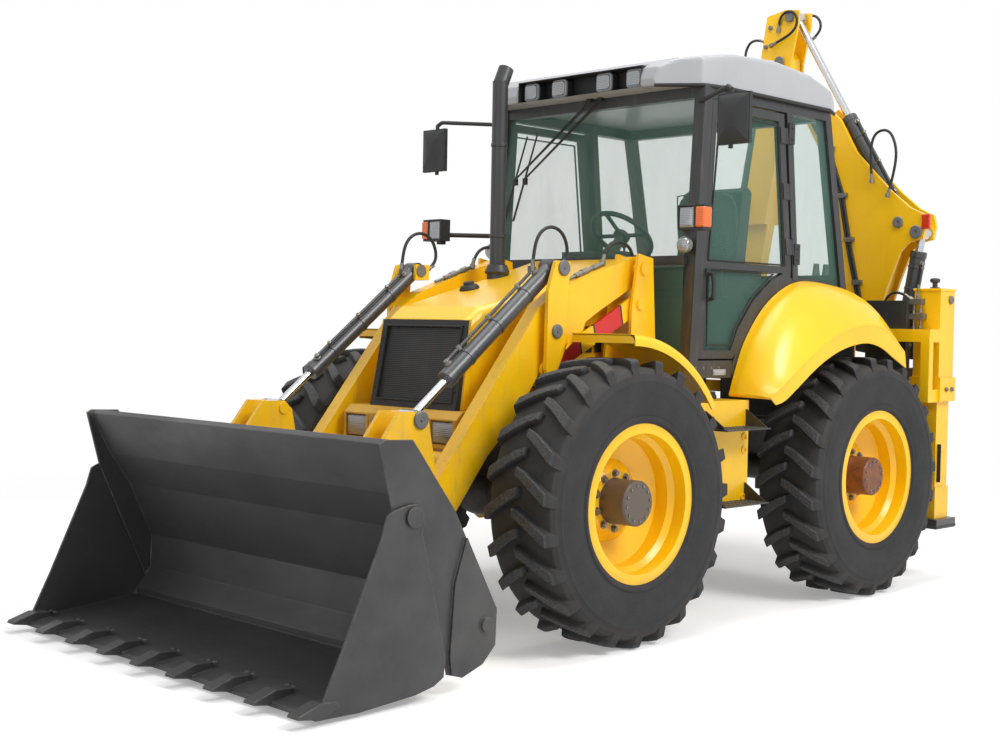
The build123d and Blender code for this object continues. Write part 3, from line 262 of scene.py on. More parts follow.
# ---- finishes ----
def rgb(red, green, blue):
    """Linear colour from the 0 to 255 values in which a paint is matched."""
    shares = [value / 255 for value in (red, green, blue)]
    linear = [share / 12.92 if share <= 0.04045 else ((share + 0.055) / 1.055) ** 2.4 for share in shares]
    return (*linear, 1.0)


YELLOW = rgb(253, 200, 6)
DEEP_YELLOW = rgb(246, 186, 4)
PAD_GREY = rgb(62, 62, 63)
ROAD_DUST = rgb(150, 135, 105)
LEG_PAD_TOP = 0.3905

# Paints: colour, the shade it drifts to, a chip's colour and the roughness, then what differs in painted().
PAINTS = {
    "yellow": ("machine_yellow", YELLOW, DEEP_YELLOW, rgb(96, 84, 66), 0.27, {"dirty": 0.2, "worn": 0.35}),
    "leg_yellow": ("leg_yellow", YELLOW, DEEP_YELLOW, rgb(92, 78, 60), 0.3,
                   {"dirty": 0.4, "worn": 0.6, "dark_below": LEG_PAD_TOP}),
    "arm_yellow": ("scuffed_yellow", YELLOW, DEEP_YELLOW, rgb(92, 78, 60), 0.3, {"dirty": 0.5, "worn": 0.9}),
    # Front panel's paint: its darker ochre is painted shade of the faces that look forward, with heavy dust
    # on top.
    "front_ochre": ("dusty_ochre", rgb(222, 168, 22), rgb(196, 146, 28), rgb(70, 58, 44), 0.45,
                    {"dirty": 0.8, "worn": 0.4}),
    "dark": ("frame_charcoal", rgb(46, 47, 48), rgb(38, 39, 41), rgb(88, 84, 78), 0.42,
             {"dirty": 0.3, "worn": 0.35, "coat": 0.1}),
    "ram": ("ram_grey", rgb(62, 64, 66), rgb(50, 52, 54), rgb(120, 116, 108), 0.33,
            {"dirty": 0.2, "worn": 0.4}),
    "roof": ("roof_grey", rgb(168, 170, 173), rgb(158, 160, 164), rgb(140, 140, 140), 0.35,
             {"dirty": 0.2, "worn": 0.05, "soft_edge": 0.025}),
    "panel_yellow": ("panel_yellow", YELLOW, DEEP_YELLOW, rgb(96, 84, 66), 0.25,
                     {"dirty": 0.2, "worn": 0.2, "soft_edge": 0.018}),
    "cap": ("pin_cap_grey", rgb(112, 112, 110), rgb(96, 96, 95), rgb(150, 148, 140), 0.42,
            {"dirty": 0.3, "worn": 0.6}),
}

# Lenses: the colour that shows, the deep colour between their ribs, which is painted shade in the grooves,
# and how far they mirror.
LENSES = {
    "amber": (rgb(250, 120, 10), rgb(225, 90, 6), 0.0),
    "red": (rgb(226, 62, 12), rgb(190, 40, 10), 0.0),
    "clear": (rgb(176, 180, 182), rgb(120, 124, 128), 0.55),
}


def painted(name, colour, shade, chip, roughness, dirty, worn, coat=0.25, soft_edge=0.003, dark_below=None):
    """Sprayed paint: slow drift of shade, dust low down, chips along edges and fine scratches."""
    paint = Finish(name, Coat_Weight=coat, Coat_Roughness=0.12)
    drift = paint.noise(1.7, 3.0)
    height = paint.along("Z")
    grime = paint.noise(9.0, 6.0, 0.7).step(0.42, 0.72) * height.step(1.5, 0.35) * dirty
    streaks = paint.noise(22.0, 4.0, 0.6, (1.0, 1.0, 0.12)).step(0.55, 0.8) * (dirty * 0.55)
    chips = paint.edges(0.005) * paint.noise(60.0, 5.0, 0.7).step(0.56 - 0.1 * worn, 0.66) * worn
    scratches = paint.noise(35.0, 2.0, 0.5, (1.0, 9.0, 2.0)).step(0.71, 0.74) * (worn * 0.5)
    skin = paint.mix(drift.step(0.3, 0.7), colour, shade)
    skin = paint.mix(streaks + grime, skin, ROAD_DUST)
    bare = paint.sum("MAXIMUM", chips, scratches)
    if dark_below:
        skin = paint.mix(height < dark_below, skin, PAD_GREY)
    paint.set("Base Color", paint.mix(bare, skin, chip))
    paint.set("Roughness", roughness + drift * 0.1 + grime * 0.5 + bare * 0.2)
    paint.relief(paint.noise(140.0, 3.0) * 0.4 - bare, 0.22, 0.0012, soft_edge)
    return paint.material


def scoured_steel():
    """Bucket steel: dull plate, rubbed brighter in broad patches and along its edges."""
    steel = Finish("scoured_steel", Coat_Weight=0.0)
    broad = steel.noise(2.2, 5.0, 0.6)
    fine = steel.noise(26.0, 4.0, 0.65, (0.25, 1.0, 1.0))
    rubbed = steel.noise(3.1, 4.0, 0.6, (0.5, 1.0, 1.0)).step(0.42, 0.66)
    edge = steel.edges(0.007) * fine.step(0.35, 0.6)
    tone = steel.mix(broad.step(0.3, 0.7), rgb(62, 62, 63), rgb(48, 48, 50))
    tone = steel.mix(rubbed * 0.5, tone, rgb(92, 91, 90))
    steel.set("Base Color", steel.mix(edge * 0.7, tone, rgb(132, 128, 122)))
    steel.set("Metallic", rubbed * 0.35 + edge * 0.3 + 0.1)
    steel.set("Roughness", 0.5 - rubbed * 0.12 + fine * 0.12)
    steel.relief(fine * 0.6 + broad, 0.35, 0.003, 0.008)
    return steel.material


def chrome_rod():
    chrome = Finish("chrome_rod", Metallic=1.0)
    haze = chrome.noise(40.0, 3.0)
    chrome.set("Base Color", chrome.mix(haze, rgb(214, 214, 216), rgb(190, 192, 196)))
    chrome.set("Roughness", 0.12 + haze * 0.12)
    chrome.relief(chrome.noise(300.0, 2.0, 0.5, (1, 1, 6)), 0.05, 0.0005)
    return chrome.material


def zinc_steel():
    zinc = Finish("zinc_steel", Metallic=0.85)
    grain = zinc.noise(70.0, 4.0)
    zinc.set("Base Color", zinc.mix(grain, rgb(150, 148, 142), rgb(104, 98, 88)))
    zinc.set("Roughness", 0.34 + grain * 0.25)
    zinc.relief(grain, 0.2, 0.001)
    return zinc.material


def from_axle(finish):
    """Distance in metres from the nearer axle."""
    middle = (front_axle.y + rear_axle.y) / 2
    half_base = (rear_axle.y - front_axle.y) / 2
    away = abs(finish.along("Y") - middle) - half_base
    above = finish.along("Z") - front_axle.z
    return (away * away + above * above) ** 0.5


def tyre_rubber():
    """Black sides with moulded rings and a dusty shoulder, and lug crests scuffed grey."""
    rubber = Finish("tyre_rubber", Specular_IOR_Level=0.35)
    reach = from_axle(rubber)
    dusty = rubber.noise(7.0, 6.0, 0.7)
    scuff = rubber.noise(90.0, 4.0, 0.6)
    crest = reach.step(0.68, 0.7)
    shoulder = reach.step(0.672, 0.66) * reach.step(0.6, 0.64)
    tone = rubber.mix(dusty.step(0.35, 0.75) * 0.7, rgb(36, 36, 38), rgb(58, 57, 56))
    tone = rubber.mix(crest * scuff.step(0.3, 0.7) * 0.8, tone, rgb(92, 92, 92))
    rubber.set("Base Color", rubber.mix(shoulder * dusty * 0.5, tone, rgb(72, 66, 58)))
    rubber.set("Roughness", 0.56 + scuff * 0.2 + dusty * 0.1)
    rings = (reach * 420.0).wave() * reach.step(0.61, 0.585) * 0.35
    rubber.relief(scuff * 0.8 + rings, 0.25, 0.002)
    return rubber.material


def rim_yellow():
    """Yellow disc and flange, stained round the hub, with a grey hub in front and a rusty one behind."""
    rim = Finish("rim_yellow", Coat_Weight=0.15, Coat_Roughness=0.2)
    reach = from_axle(rim)
    rear = rim.along("Y").step(0.3, 0.5)
    soot = rim.noise(14.0, 6.0, 0.7)
    skin = rim.mix(rim.noise(2.5, 3.0).step(0.3, 0.7), YELLOW, DEEP_YELLOW)
    stain = reach.step(0.24, 0.13) * soot.step(0.38, 0.7) * 0.55 + reach.step(0.36, 0.39) * soot * 0.4
    skin = rim.mix(stain, skin, rgb(120, 86, 40))
    grey = rim.mix(soot, rgb(74, 66, 60), rgb(104, 92, 80))
    rust = rim.mix(soot.step(0.35, 0.65), rgb(96, 56, 36), rgb(136, 84, 52))
    hub = reach < 0.1145
    rim.set("Base Color", rim.mix(hub, skin, rim.mix(rear, grey, rust)))
    rim.set("Roughness", 0.3 + stain * 0.4 + hub * 0.25)
    rim.relief(soot * hub + rim.noise(120.0, 3.0) * 0.25, 0.3, 0.002, 0.003)
    return rim.material


def cab_glass():
    """Clear green sheet with faint smears."""
    glass = Finish("cab_glass", Base_Color=rgb(116, 168, 152), Roughness=0.03, Specular_IOR_Level=0.6)
    smear = glass.noise(5.0, 4.0, 0.6, (1, 1, 0.3))
    glass.set("Alpha", 0.13 + smear.step(0.5, 0.8) * 0.04)
    glass.relief(smear, 0.02, 0.001)
    return glass.material


def moulded_plastic():
    plastic = Finish("moulded_plastic", Specular_IOR_Level=0.4)
    grain = plastic.noise(260.0, 2.0)
    plastic.set("Base Color", plastic.mix(plastic.noise(6.0, 4.0), rgb(34, 35, 37), rgb(48, 49, 50)))
    plastic.set("Roughness", 0.48 + grain * 0.15)
    plastic.relief(grain, 0.15, 0.0008, 0.003)
    return plastic.material


def hose_rubber():
    rubber = Finish("hose_rubber", Specular_IOR_Level=0.4)
    grain = rubber.noise(160.0, 3.0)
    rubber.set("Base Color", rubber.mix(rubber.noise(12.0, 4.0), rgb(26, 26, 28), rgb(44, 43, 42)))
    rubber.set("Roughness", 0.5 + grain * 0.2)
    rubber.relief(grain, 0.2, 0.001)
    return rubber.material


def screen_black():
    black = Finish("screen_black", Specular_IOR_Level=0.4)
    speck = black.noise(180.0, 3.0)
    black.set("Base Color", black.mix(speck, rgb(22, 22, 24), rgb(42, 41, 40)))
    black.set("Roughness", 0.45 + speck * 0.2)
    black.relief(speck, 0.1, 0.0008, 0.002)
    return black.material


def perforated_screen():
    """Dusty sheet with rows of diamond holes, each row half a hole along from the next; the holes are painted
    near-black, which is painted shade seen through them.
    """
    sheet = Finish("perforated_screen", Specular_IOR_Level=0.4)
    row = sheet.along("Z") * 105.0
    column = sheet.along("X") * 90.0 + (row * 0.5).part().step(0.49, 0.51) * 0.5
    hole = (abs(column.part() - 0.5) + abs(row.part() - 0.5)).step(0.47, 0.4)
    dusty = sheet.noise(5.0, 5.0, 0.65).step(0.45, 0.75)
    web = sheet.mix(dusty * 0.4, rgb(50, 50, 51), rgb(84, 72, 52))
    # The near-black in the holes is painted shade, the dark seen through them.
    sheet.set("Base Color", sheet.mix(hole, web, rgb(8, 8, 9)))
    sheet.set("Roughness", 0.42 + hole * 0.4)
    sheet.relief(1.0 - hole, 0.5, 0.002)
    return sheet.material


def ribbed_lens(key, colour, deep, mirrors):
    lens = Finish("lens_" + key, Roughness=0.1, Coat_Weight=0.6, Metallic=mirrors)
    ribs = (lens.along("X") * 900.0).wave() * 0.5 + (lens.along("Z") * 700.0).wave() * 0.5
    # Base colour: the deep colour in the grooves between the ribs is painted shade.
    lens.set("Base Color", lens.mix(ribs.step(-0.6, 0.9), deep, colour))
    lens.relief(ribs, 0.35, 0.0015)
    return lens.material


def mirror_glass():
    mirror = Finish("mirror_glass", Metallic=1.0)
    film = mirror.noise(20.0, 3.0)
    mirror.set("Base Color", mirror.mix(film, rgb(210, 216, 220), rgb(180, 188, 194)))
    mirror.set("Roughness", 0.05 + film * 0.06)
    return mirror.material


def seat_cloth():
    cloth = Finish("seat_cloth", Specular_IOR_Level=0.25, Sheen_Weight=0.3)
    warp = (cloth.along("X") * 1800.0).wave()
    weave = warp * (cloth.along("Y") * 1800.0 + cloth.along("Z") * 1800.0).wave()
    cloth.set("Base Color", cloth.mix(weave.step(-0.6, 0.6), rgb(30, 31, 33), rgb(56, 57, 60)))
    cloth.set("Roughness", 0.82 + weave * 0.05)
    cloth.relief(weave, 0.3, 0.0008)
    return cloth.material


def striped_link():
    """Yellow link with red bars in dark borders, across its slope."""
    link = Finish("striped_link", Coat_Weight=0.2)
    run = (link.along("Y") - front_axle.y) * 0.98 + (link.along("Z") - 1.6) * 0.2
    band = (run * 2.9 + 0.62).part()
    red = band.step(0.24, 0.245) * band.step(0.86, 0.855)
    border = band.step(0.2, 0.205) * band.step(0.9, 0.895) - red
    skin = link.mix(red, link.mix(link.noise(3.0), YELLOW, DEEP_YELLOW), rgb(196, 28, 22))
    link.set("Base Color", link.mix(border, skin, rgb(24, 22, 20)))
    link.set("Roughness", 0.3 + link.noise(20.0) * 0.12)
    link.relief(link.noise(120.0), 0.1, 0.001, 0.003)
    return link.material


MATERIAL = {key: painted(*paint[:-1], **paint[-1]) for key, paint in PAINTS.items()}
MATERIAL |= {key: ribbed_lens(key, *lens) for key, lens in LENSES.items()}
MATERIAL |= {
    "worn": scoured_steel(), "chrome": chrome_rod(), "steel": zinc_steel(), "rubber": tyre_rubber(),
    "rim": rim_yellow(), "glass": cab_glass(), "plastic": moulded_plastic(), "hose": hose_rubber(),
    "screen": screen_black(), "perforated": perforated_screen(), "mirror": mirror_glass(),
    "cloth": seat_cloth(), "stripes": striped_link(),
}

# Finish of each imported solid.
DRESSED = {
    "dark": ("main_frame", "axles", "engine_block", "exhaust", "cab_frame", "steps", "door_left",
             "door_right", "carriage", "swing_post", "guide_links", "bucket_link", "hoe_bucket",
             "knuckle_fl", "knuckle_fr", "knuckle_rl", "knuckle_rr"),
    "yellow": ("loader_towers", "fenders", "side_tanks", "rear_frame", "boom", "dipper"),
    "panel_yellow": ("hood",),
    "arm_yellow": ("loader_arms", "bellcranks", "bucket_brackets"),
    "leg_yellow": ("leg_left", "leg_right"),
    # The front panel takes the darker ochre, which is painted shade of the faces that look forward.
    "front_ochre": ("front_panel",),
    "screen": ("grille",),
    "roof": ("cab_roof",),
    "glass": ("cab_glass", "door_glass_left", "door_glass_right"),
    "plastic": ("cab_interior", "cab_fittings"),
    "stripes": ("levelling_links",),
    "cap": ("tilt_pins", "bucket_pins"),
    "ram": ("tilt_barrels", "lift_barrels", "boom_barrel", "dipper_barrel", "hoe_barrel"),
    "chrome": ("tilt_rods", "lift_rods", "boom_rod", "dipper_rod", "hoe_rod"),
    "worn": ("bucket_back", "bucket_clam"),
    "rubber": ("tyre_fl", "tyre_fr", "tyre_rl", "tyre_rr"),
    "rim": ("wheel_fl", "wheel_fr", "wheel_rl", "wheel_rr"),
}


def dress_solids():
    for finish, names in DRESSED.items():
        for name in names:
            materials = frame["nodes"][name].data.materials
            materials.clear()
            materials.append(MATERIAL[finish])


# ---- making pieces ----
class Maker:
    """Collects mesh parts and turns them into one piece that rides on a body."""

    def __init__(self, name, body, finish):
        self.name, self.body, self.finish = name, body, finish
        self.bm = bmesh.new()

    def ring(self, points):
        return [self.bm.verts.new(p) for p in points]

    def skin(self, rings, caps=True):
        """Walls between closed rings of equal count, with a face over each end ring."""
        for a, b in zip(rings, rings[1:]):
            for n in range(len(a)):
                m = (n + 1) % len(a)
                self.bm.faces.new((a[n], a[m], b[m], b[n]))
        if caps:
            self.bm.faces.new(list(reversed(rings[0])))
            self.bm.faces.new(rings[-1])

    def lathe(self, centre, axis, profile, steps=32, caps=True):
        """Turned form: profile of (along the axis, radius); one that ends at radius 0 needs no caps."""
        axis = Vector(axis).normalized()
        side = axis.orthogonal().normalized()
        other = axis.cross(side)
        rings = []
        for reach, radius in profile:
            middle = centre + axis * reach
            rings.append(self.ring(
                middle + (side * math.cos(t) + other * math.sin(t)) * radius for t in circle(steps)
            ))
        self.skin(rings, caps)

    def box(self, low, high, turn=None):
        """Box between two corners, turned about its middle by a rotation."""
        middle = (low + high) / 2
        corners = [(low.x, low.y), (high.x, low.y), (high.x, high.y), (low.x, high.y)]
        rings = [[Vector((x, y, z)) for x, y in corners] for z in (low.z, high.z)]
        if turn:
            rings = [[middle + turn @ (p - middle) for p in ring] for ring in rings]
        self.skin([self.ring(ring) for ring in rings])

    def side_box(self, side, low, high):
        """Box between two places in millimetres on the left, mirrored where side is -1."""
        inner, outer = sorted((side * low[0], side * high[0]))
        self.box(at(inner, *low[1:]), at(outer, *high[1:]))

    def slab(self, outline, direction):
        """Flat outline of points, pushed along a direction."""
        self.skin([self.ring(outline), self.ring(p + Vector(direction) for p in outline)])

    def tube(self, points, radius, steps=10):
        """Round bar along points, mitred at its corners."""
        rings, side = [], None
        for n, p in enumerate(points):
            before = (p - points[n - 1]).normalized() if n else None
            after = (points[n + 1] - p).normalized() if n + 1 < len(points) else None
            line = ((before or after) + (after or before)).normalized()
            side = (line.orthogonal() if side is None else side - line * side.dot(line)).normalized()
            other = line.cross(side)
            grow = 1 / max(0.5, line.dot(after)) if before and after else 1
            rings.append(self.ring(
                p + (side * math.cos(t) + other * math.sin(t)) * radius * grow for t in circle(steps)
            ))
        self.skin(rings)

    def bolt(self, place, axis, size, height=None, washer=True):
        """Hexagon head on a washer."""
        height = height or size * 0.6
        across = size / 2 * 1.12
        if washer:
            self.lathe(place, axis, [(-0.001, size * 0.8), (size * 0.14, size * 0.8)], 14)
        self.lathe(place, axis, [(0, across), (height * 0.8, across), (height, size / 2 * 0.94)], 6)

    def done(self, bevel=0.0, segments=2, subdivide=0, replaces=(), angle=32):
        """The piece, with edges sharper than the angle in degrees kept, or rounded by the bevel."""
        bmesh.ops.recalc_face_normals(self.bm, faces=self.bm.faces)
        mesh = bpy.data.meshes.new(self.name)
        self.bm.to_mesh(mesh)
        self.bm.free()
        piece = bpy.data.objects.new(self.name, mesh)
        bpy.context.scene.collection.objects.link(piece)
        mesh.materials.append(MATERIAL[self.finish])
        if bevel:
            tool = piece.modifiers.new("soft edges", "BEVEL")
            tool.width, tool.segments, tool.limit_method = bevel, segments, "ANGLE"
            tool.angle_limit = math.radians(angle)
            tool.harden_normals = True
        if subdivide:
            tool = piece.modifiers.new("round", "SUBSURF")
            tool.levels = tool.render_levels = subdivide
        mesh.polygons.foreach_set("use_smooth", [True] * len(mesh.polygons))
        mesh.set_sharp_from_angle(angle=math.radians(angle))
        if replaces:
            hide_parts(*replaces)
        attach(piece, self.body)
        return piece


# ---- tyres and wheels ----
TYRE_RADIUS = 705
LUGS = 23
# Angle round the axle of the first lug, 138 mm forward of the lowest point of the tyre.
FIRST_LUG = math.pi + math.asin(138 / TYRE_RADIUS)
# Half of the carcass section, from the bead to the middle of the tread, as (across, radius).
CARCASS = [(186, 380), (192, 396), (203, 404), (206, 418), (199, 428), (204, 445), (211, 480),
           (214.5, 525), (214, 560), (211, 585), (213, 596), (209, 606), (205, 630), (190, 651),
           (168, 660), (120, 664), (60, 666), (0, 667)]
# Stations of one lug: across, round, half widths at the crest and the foot, radii of the crest and the foot.
LUG = [(-17, -6, 17, 28, 683, 650), (-9, 0, 21, 32, 702, 650), (40, 22, 24, 36, 703.5, 652),
       (95, 56, 26, 38, 703.5, 650), (148, 92, 28, 40, 702, 646), (188, 119, 30, 42, 698, 624),
       (207, 132, 28, 40, 632, 592)]
# The nuts' circle and the hub bolts' circle, as (out from the wheel's middle, radius).
NUT_CIRCLE = (0.0155, 0.1375)
HUB_CIRCLE = (0.1675, 0.088)


def wheel_centre(side, axle):
    """Middle of the wheel on one end of an axle."""
    return Vector((side * abs(axle.x), axle.y, axle.z))


def tyre(place, side, axle):
    """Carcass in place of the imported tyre, and two rows of slanting lugs half a lug apart."""
    centre = wheel_centre(side, axle)
    carcass = Maker(f"tyre_{place}_carcass", f"wheel_{place}", "rubber")
    half = [(x / 1000, r / 1000) for x, r in CARCASS]
    carcass.lathe(centre, (1, 0, 0), half + [(-x, r) for x, r in reversed(half[:-1])], 120, caps=False)
    carcass.done(angle=24, replaces=(f"tyre_{place}",))
    tread = Maker(f"tyre_{place}_tread", f"wheel_{place}", "rubber")
    for row, shift in ((1, 0), (-1, 0.5)):
        for n in range(LUGS):
            turn = FIRST_LUG - (n + shift) * 2 * math.pi / LUGS
            rings = []
            for across, run, crest, foot, high, low in LUG:
                ring = []
                for s, r in ((run - foot, low), (run - crest, high), (run + crest, high), (run + foot, low)):
                    t = turn - s / TYRE_RADIUS
                    ring.append(centre + Vector((row * across, math.sin(t) * r, math.cos(t) * r)) / 1000)
                rings.append(tread.ring(ring))
            tread.skin(rings)
    tread.done(bevel=0.0045, segments=2, angle=28)


def wheel_studs(place, side, axle):
    """Ten nuts on the disc and twelve small bolts on the hub's face."""
    centre = wheel_centre(side, axle)
    out = Vector((side, 0, 0))

    def spot(reach, radius, t):
        return centre + out * reach + Vector((0, math.cos(t), math.sin(t))) * radius

    studs = Maker(f"studs_{place}", f"wheel_{place}", "steel")
    for t in circle(10, 0.5):
        studs.bolt(spot(*NUT_CIRCLE, t), out, 0.026, 0.02)
    for t in circle(12, 0.25):
        studs.bolt(spot(*HUB_CIRCLE, t), out, 0.013, 0.007, washer=False)
    studs.done(bevel=0.0008, segments=1)


# ---- hoses, each one free between its two fittings ----
# Hoses of the loader, one a side: body, place across, and points in order from the first fitting.
LOADER_HOSES = {
    "tilt_hose": ("tilt_barrels", 500, [(-158, 1841), (-150, 1950), (-106, 2035), (-20, 2068), (66, 2035),
                                        (104, 1950), (80, 1885), (36, 1866)]),
    "arm_hose": ("arms", 497, [(380, 1892), (400, 1960), (470, 2010), (560, 2010), (625, 1965), (640, 1885)]),
}
# Hoses at the back: body, diameter, and points in order from the first fitting.
REAR_HOSES = {
    "head_hose_front": ("dipper", 0.018, [
        (-395, 3160, 3560), (-310, 3155, 3588), (-229, 3150, 3620), (-182, 3150, 3667), (-182, 3155, 3733),
        (-229, 3160, 3780), (-295, 3165, 3780), (-342, 3170, 3733), (-350, 3180, 3660)]),
    "head_hose_rear": ("dipper", 0.018, [
        (-300, 3375, 3650), (-310, 3388, 3725), (-262, 3392, 3782), (-188, 3392, 3782), (-140, 3392, 3725),
        (-150, 3390, 3650), (-215, 3375, 3600)]),
    "beam_hose": ("dipper", 0.018, [
        (-480, 3215, 3600), (-560, 3180, 3640), (-640, 3180, 3540), (-610, 3190, 3380), (-520, 3200, 3260)]),
    "boom_ram_hose": ("boom", 0.018, [
        (430, 3165, 2560), (420, 3150, 2720), (440, 3150, 2880), (560, 3150, 2900), (620, 3150, 2760),
        (600, 3150, 2600), (550, 3165, 2460)]),
    "valve_hose": ("root", 0.017, [
        (890, 2905, 1660), (800, 2890, 1700), (730, 2900, 1560), (760, 2910, 1380), (876, 2912, 1262)]),
    "valve_hose_high": ("root", 0.017, [
        (890, 2900, 1770), (800, 2870, 1840), (690, 2880, 1740), (740, 2905, 1560), (880, 2905, 1480)]),
}


def spline_length(points, steps=40):
    """Length of the open quadratic spline over control points, span by span."""
    total, start = 0.0, points[0]
    for n in range(1, len(points) - 1):
        last = n == len(points) - 2
        end = points[n + 1] if last else (points[n] + points[n + 1]) / 2
        previous = start
        for k in range(1, steps + 1):
            t = k / steps
            here = start * (1 - t) ** 2 + points[n] * (2 * t * (1 - t)) + end * t ** 2
            total += (here - previous).length
            previous = here
        start = end
    return total


def hose(name, body, diameter, places):
    """Hose on a spline whose control points are in millimetres, with a crimped fitting at each end."""
    points = [at(*place) for place in places]
    curve = bpy.data.curves.new(name, "CURVE")
    curve.dimensions, curve.bevel_depth, curve.bevel_resolution = "3D", diameter / 2, 4
    curve.resolution_u = 16
    line = curve.splines.new("NURBS")
    line.points.add(len(points) - 1)
    for control, point in zip(line.points, points):
        control.co = (*point, 1)
    line.order_u, line.use_endpoint_u = 3, True
    piece = bpy.data.objects.new(name, curve)
    bpy.context.scene.collection.objects.link(piece)
    curve.materials.append(MATERIAL["hose"])
    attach(piece, body)
    spline_length(points)
    sleeve = diameter / 2
    crimp = [(-0.012, 0.011), (-0.012, 0.0165), (0.014, 0.0165), (0.016, sleeve + 0.0025),
             (0.05, sleeve + 0.0015)]
    ends = Maker(name + "_fittings", body, "steel")
    for first, second in ((points[0], points[1]), (points[-1], points[-2])):
        ends.lathe(first, second - first, crimp, 6)
    ends.done()


# ---- grille, lamps in the front panel, hood ----
# Left head lamp's low inner and high outer corner, as (across, height), and the front of its surround.
HEAD_LAMP_LOW, HEAD_LAMP_HIGH = (254, 970), (406, 1075)
PANEL_FACE = -606


def grille_front(z):
    """Rearward place of the grille's sloping face at a height."""
    return -513 + (z - 1129) * 89 / 452


def hood_side(y):
    """Half width of the hood, which widens rearwards."""
    return 345 + (y + 341) * 50 / 708


def hood_top(y):
    """Height of the hood's top, which rises rearwards."""
    return 1647 + (y + 341) * 183 / 708


def grille_pieces():
    """Bulged screen of perforated sheet behind the grille's bars, a bead round it and its bolts."""
    screen = Maker("grille_screen", "root", "perforated")
    rows = 8
    rings = []
    for n in range(rows + 1):
        z = 1171 + 368 * n / rows
        front = grille_front(z) + 13 - 2 * math.sin(math.pi * n / rows)
        back = grille_front(z) + 15
        corners = ((-281, front), (281, front), (281, back), (-281, back))
        rings.append(screen.ring(at(x, y, z) for x, y in corners))
    screen.skin(rings)
    screen.done()
    rim = Maker("grille_rim", "root", "screen")
    corners = [(-288, 1164), (288, 1164), (288, 1546), (-288, 1546), (-288, 1164)]
    rim.tube([at(x, grille_front(z) - 1, z) for x, z in corners], 0.006, 8)
    for z in (1225, 1355, 1485):
        for x in (-304, 304):
            rim.bolt(at(x, grille_front(z) + 1, z), (0, -1, 0.2), 0.013, 0.006)
    rim.done(bevel=0.001, segments=1)


def lens(name, across, height, faces):
    """Clear lens over (inner, outer) and (low, high), whose rings draw in by an inset, as (depth, inset)."""
    made = Maker(name, "root", "clear")
    (inner, outer), (low, high) = across, height
    inward = math.copysign(1, outer - inner)
    rings = []
    for y, inset in faces:
        xs = (inner + inward * inset, outer - inward * inset)
        corners = [(xs[0], low + inset), (xs[1], low + inset), (xs[1], high - inset), (xs[0], high - inset)]
        rings.append(made.ring(at(x, y, z) for x, z in corners))
    made.skin(rings)
    return made


def head_lamps():
    """Lamps in the front panel, each a bowl, a lens and a surround, and four bolts between them."""
    (inner, low), (outer, high) = HEAD_LAMP_LOW, HEAD_LAMP_HIGH
    for side, word in SIDES:
        bowl = Maker(f"head_lamp_bowl_{word}", "root", "mirror")
        bowl.side_box(side, (inner, -592, low - 2), (outer, -580, high + 2))
        bowl.done(bevel=0.004)
        across = sorted((side * inner, side * outer))
        glass = lens(f"head_lamp_{word}", across, (low, high), ((-593, 0), (-598, 2), (-602, 14)))
        glass.done(bevel=0.006, segments=3)
        # The surrounds take the front panel's darker ochre, which is painted shade of the faces that look
        # forward.
        plate = Maker(f"lamp_surround_{word}", "root", "front_ochre")
        for x0, x1, z0, z1 in ((inner - 22, outer + 22, low - 26, low - 8),
                               (inner - 22, outer + 22, high + 8, high + 13),
                               (inner - 22, inner - 4, low - 8, high + 8),
                               (outer + 4, outer + 22, low - 8, high + 8)):
            plate.side_box(side, (x0, PANEL_FACE, z0), (x1, PANEL_FACE + 7, z1))
        for x in (inner - 13, outer + 13):
            plate.bolt(at(side * x, PANEL_FACE + 1, 953), (0, -1, 0), 0.012, 0.006)
        plate.done(bevel=0.0015, segments=2)
    bolts = Maker("bolster_bolts", "root", "steel")
    for x in (-200, 200):
        for z in (985, 1055):
            bolts.bolt(at(x, PANEL_FACE + 6, z), (0, -1, 0), 0.02)
    bolts.done(bevel=0.001, segments=1)


def hood_pieces():
    """Seams, louvres and catches on the hood's sides, fittings on its top, and sleeves on the exhaust."""
    seam = Maker("hood_seams", "root", "screen")
    for side in (-1, 1):
        seam.tube([at(side * x, y, 1240) for x, y in ((346.5, -330), (396, 366), (426, 760))], 0.003, 6)
        for n in range(9):
            y = -120 + 70 * n
            x = side * (hood_side(y) + 1.5)
            seam.box(at(x, y, 1420), at(x + side * 5, y + 46, 1560), Matrix.Rotation(-side * 0.07, 3, "Z"))
    seam.done(bevel=0.0015)
    catch = Maker("hood_catches", "root", "steel")
    strap = ((10, 1390), (16, 1360), (10, 1335))
    for side in (-1, 1):
        for y in (-230, 620):
            x = side * hood_side(y)
            catch.box(at(x - side * 2, y - 16, 1330), at(x + side * 10, y + 16, 1400))
            catch.tube([at(x + side * out, y, z) for out, z in strap], 0.004, 8)
    catch.done(bevel=0.002)
    cap = Maker("hood_fitting", "root", "plastic")
    dome = [(0, 0.055), (0.016, 0.055), (0.03, 0.046), (0.034, 0.03), (0.05, 0.028), (0.054, 0)]
    for x, y in ((-180, 60), (150, 300)):
        cap.lathe(at(x, y, hood_top(y) - 8), (0, -0.25, 1), dome, 28, caps=False)
    cap.done(bevel=0.002)
    shield = Maker("exhaust_shield", "root", "dark")
    collar = [(0, 0.066), (0.012, 0.072), (0.024, 0.066), (0.05, 0.056), (0.055, 0.0465)]
    shield.lathe(at(-280, 367, 1846), UP, collar, 36)
    for z in (2050, 2560):
        shield.lathe(at(-280, 367, z), UP, [(0, 0.0442), (0.002, 0.048), (0.02, 0.048), (0.022, 0.0442)], 32)
        shield.bolt(at(-280, 319, z + 11), (0, -1, 0), 0.012)
    shield.done(bevel=0.001)


# ---- pins, rams and their pipes ----
# Rearward place of the digging arm's middle plane, and where a ram's clamps lie along its barrel.
BOOM_MIDDLE = 3270
BAND_SHARES = (0.24, 0.52, 0.79)
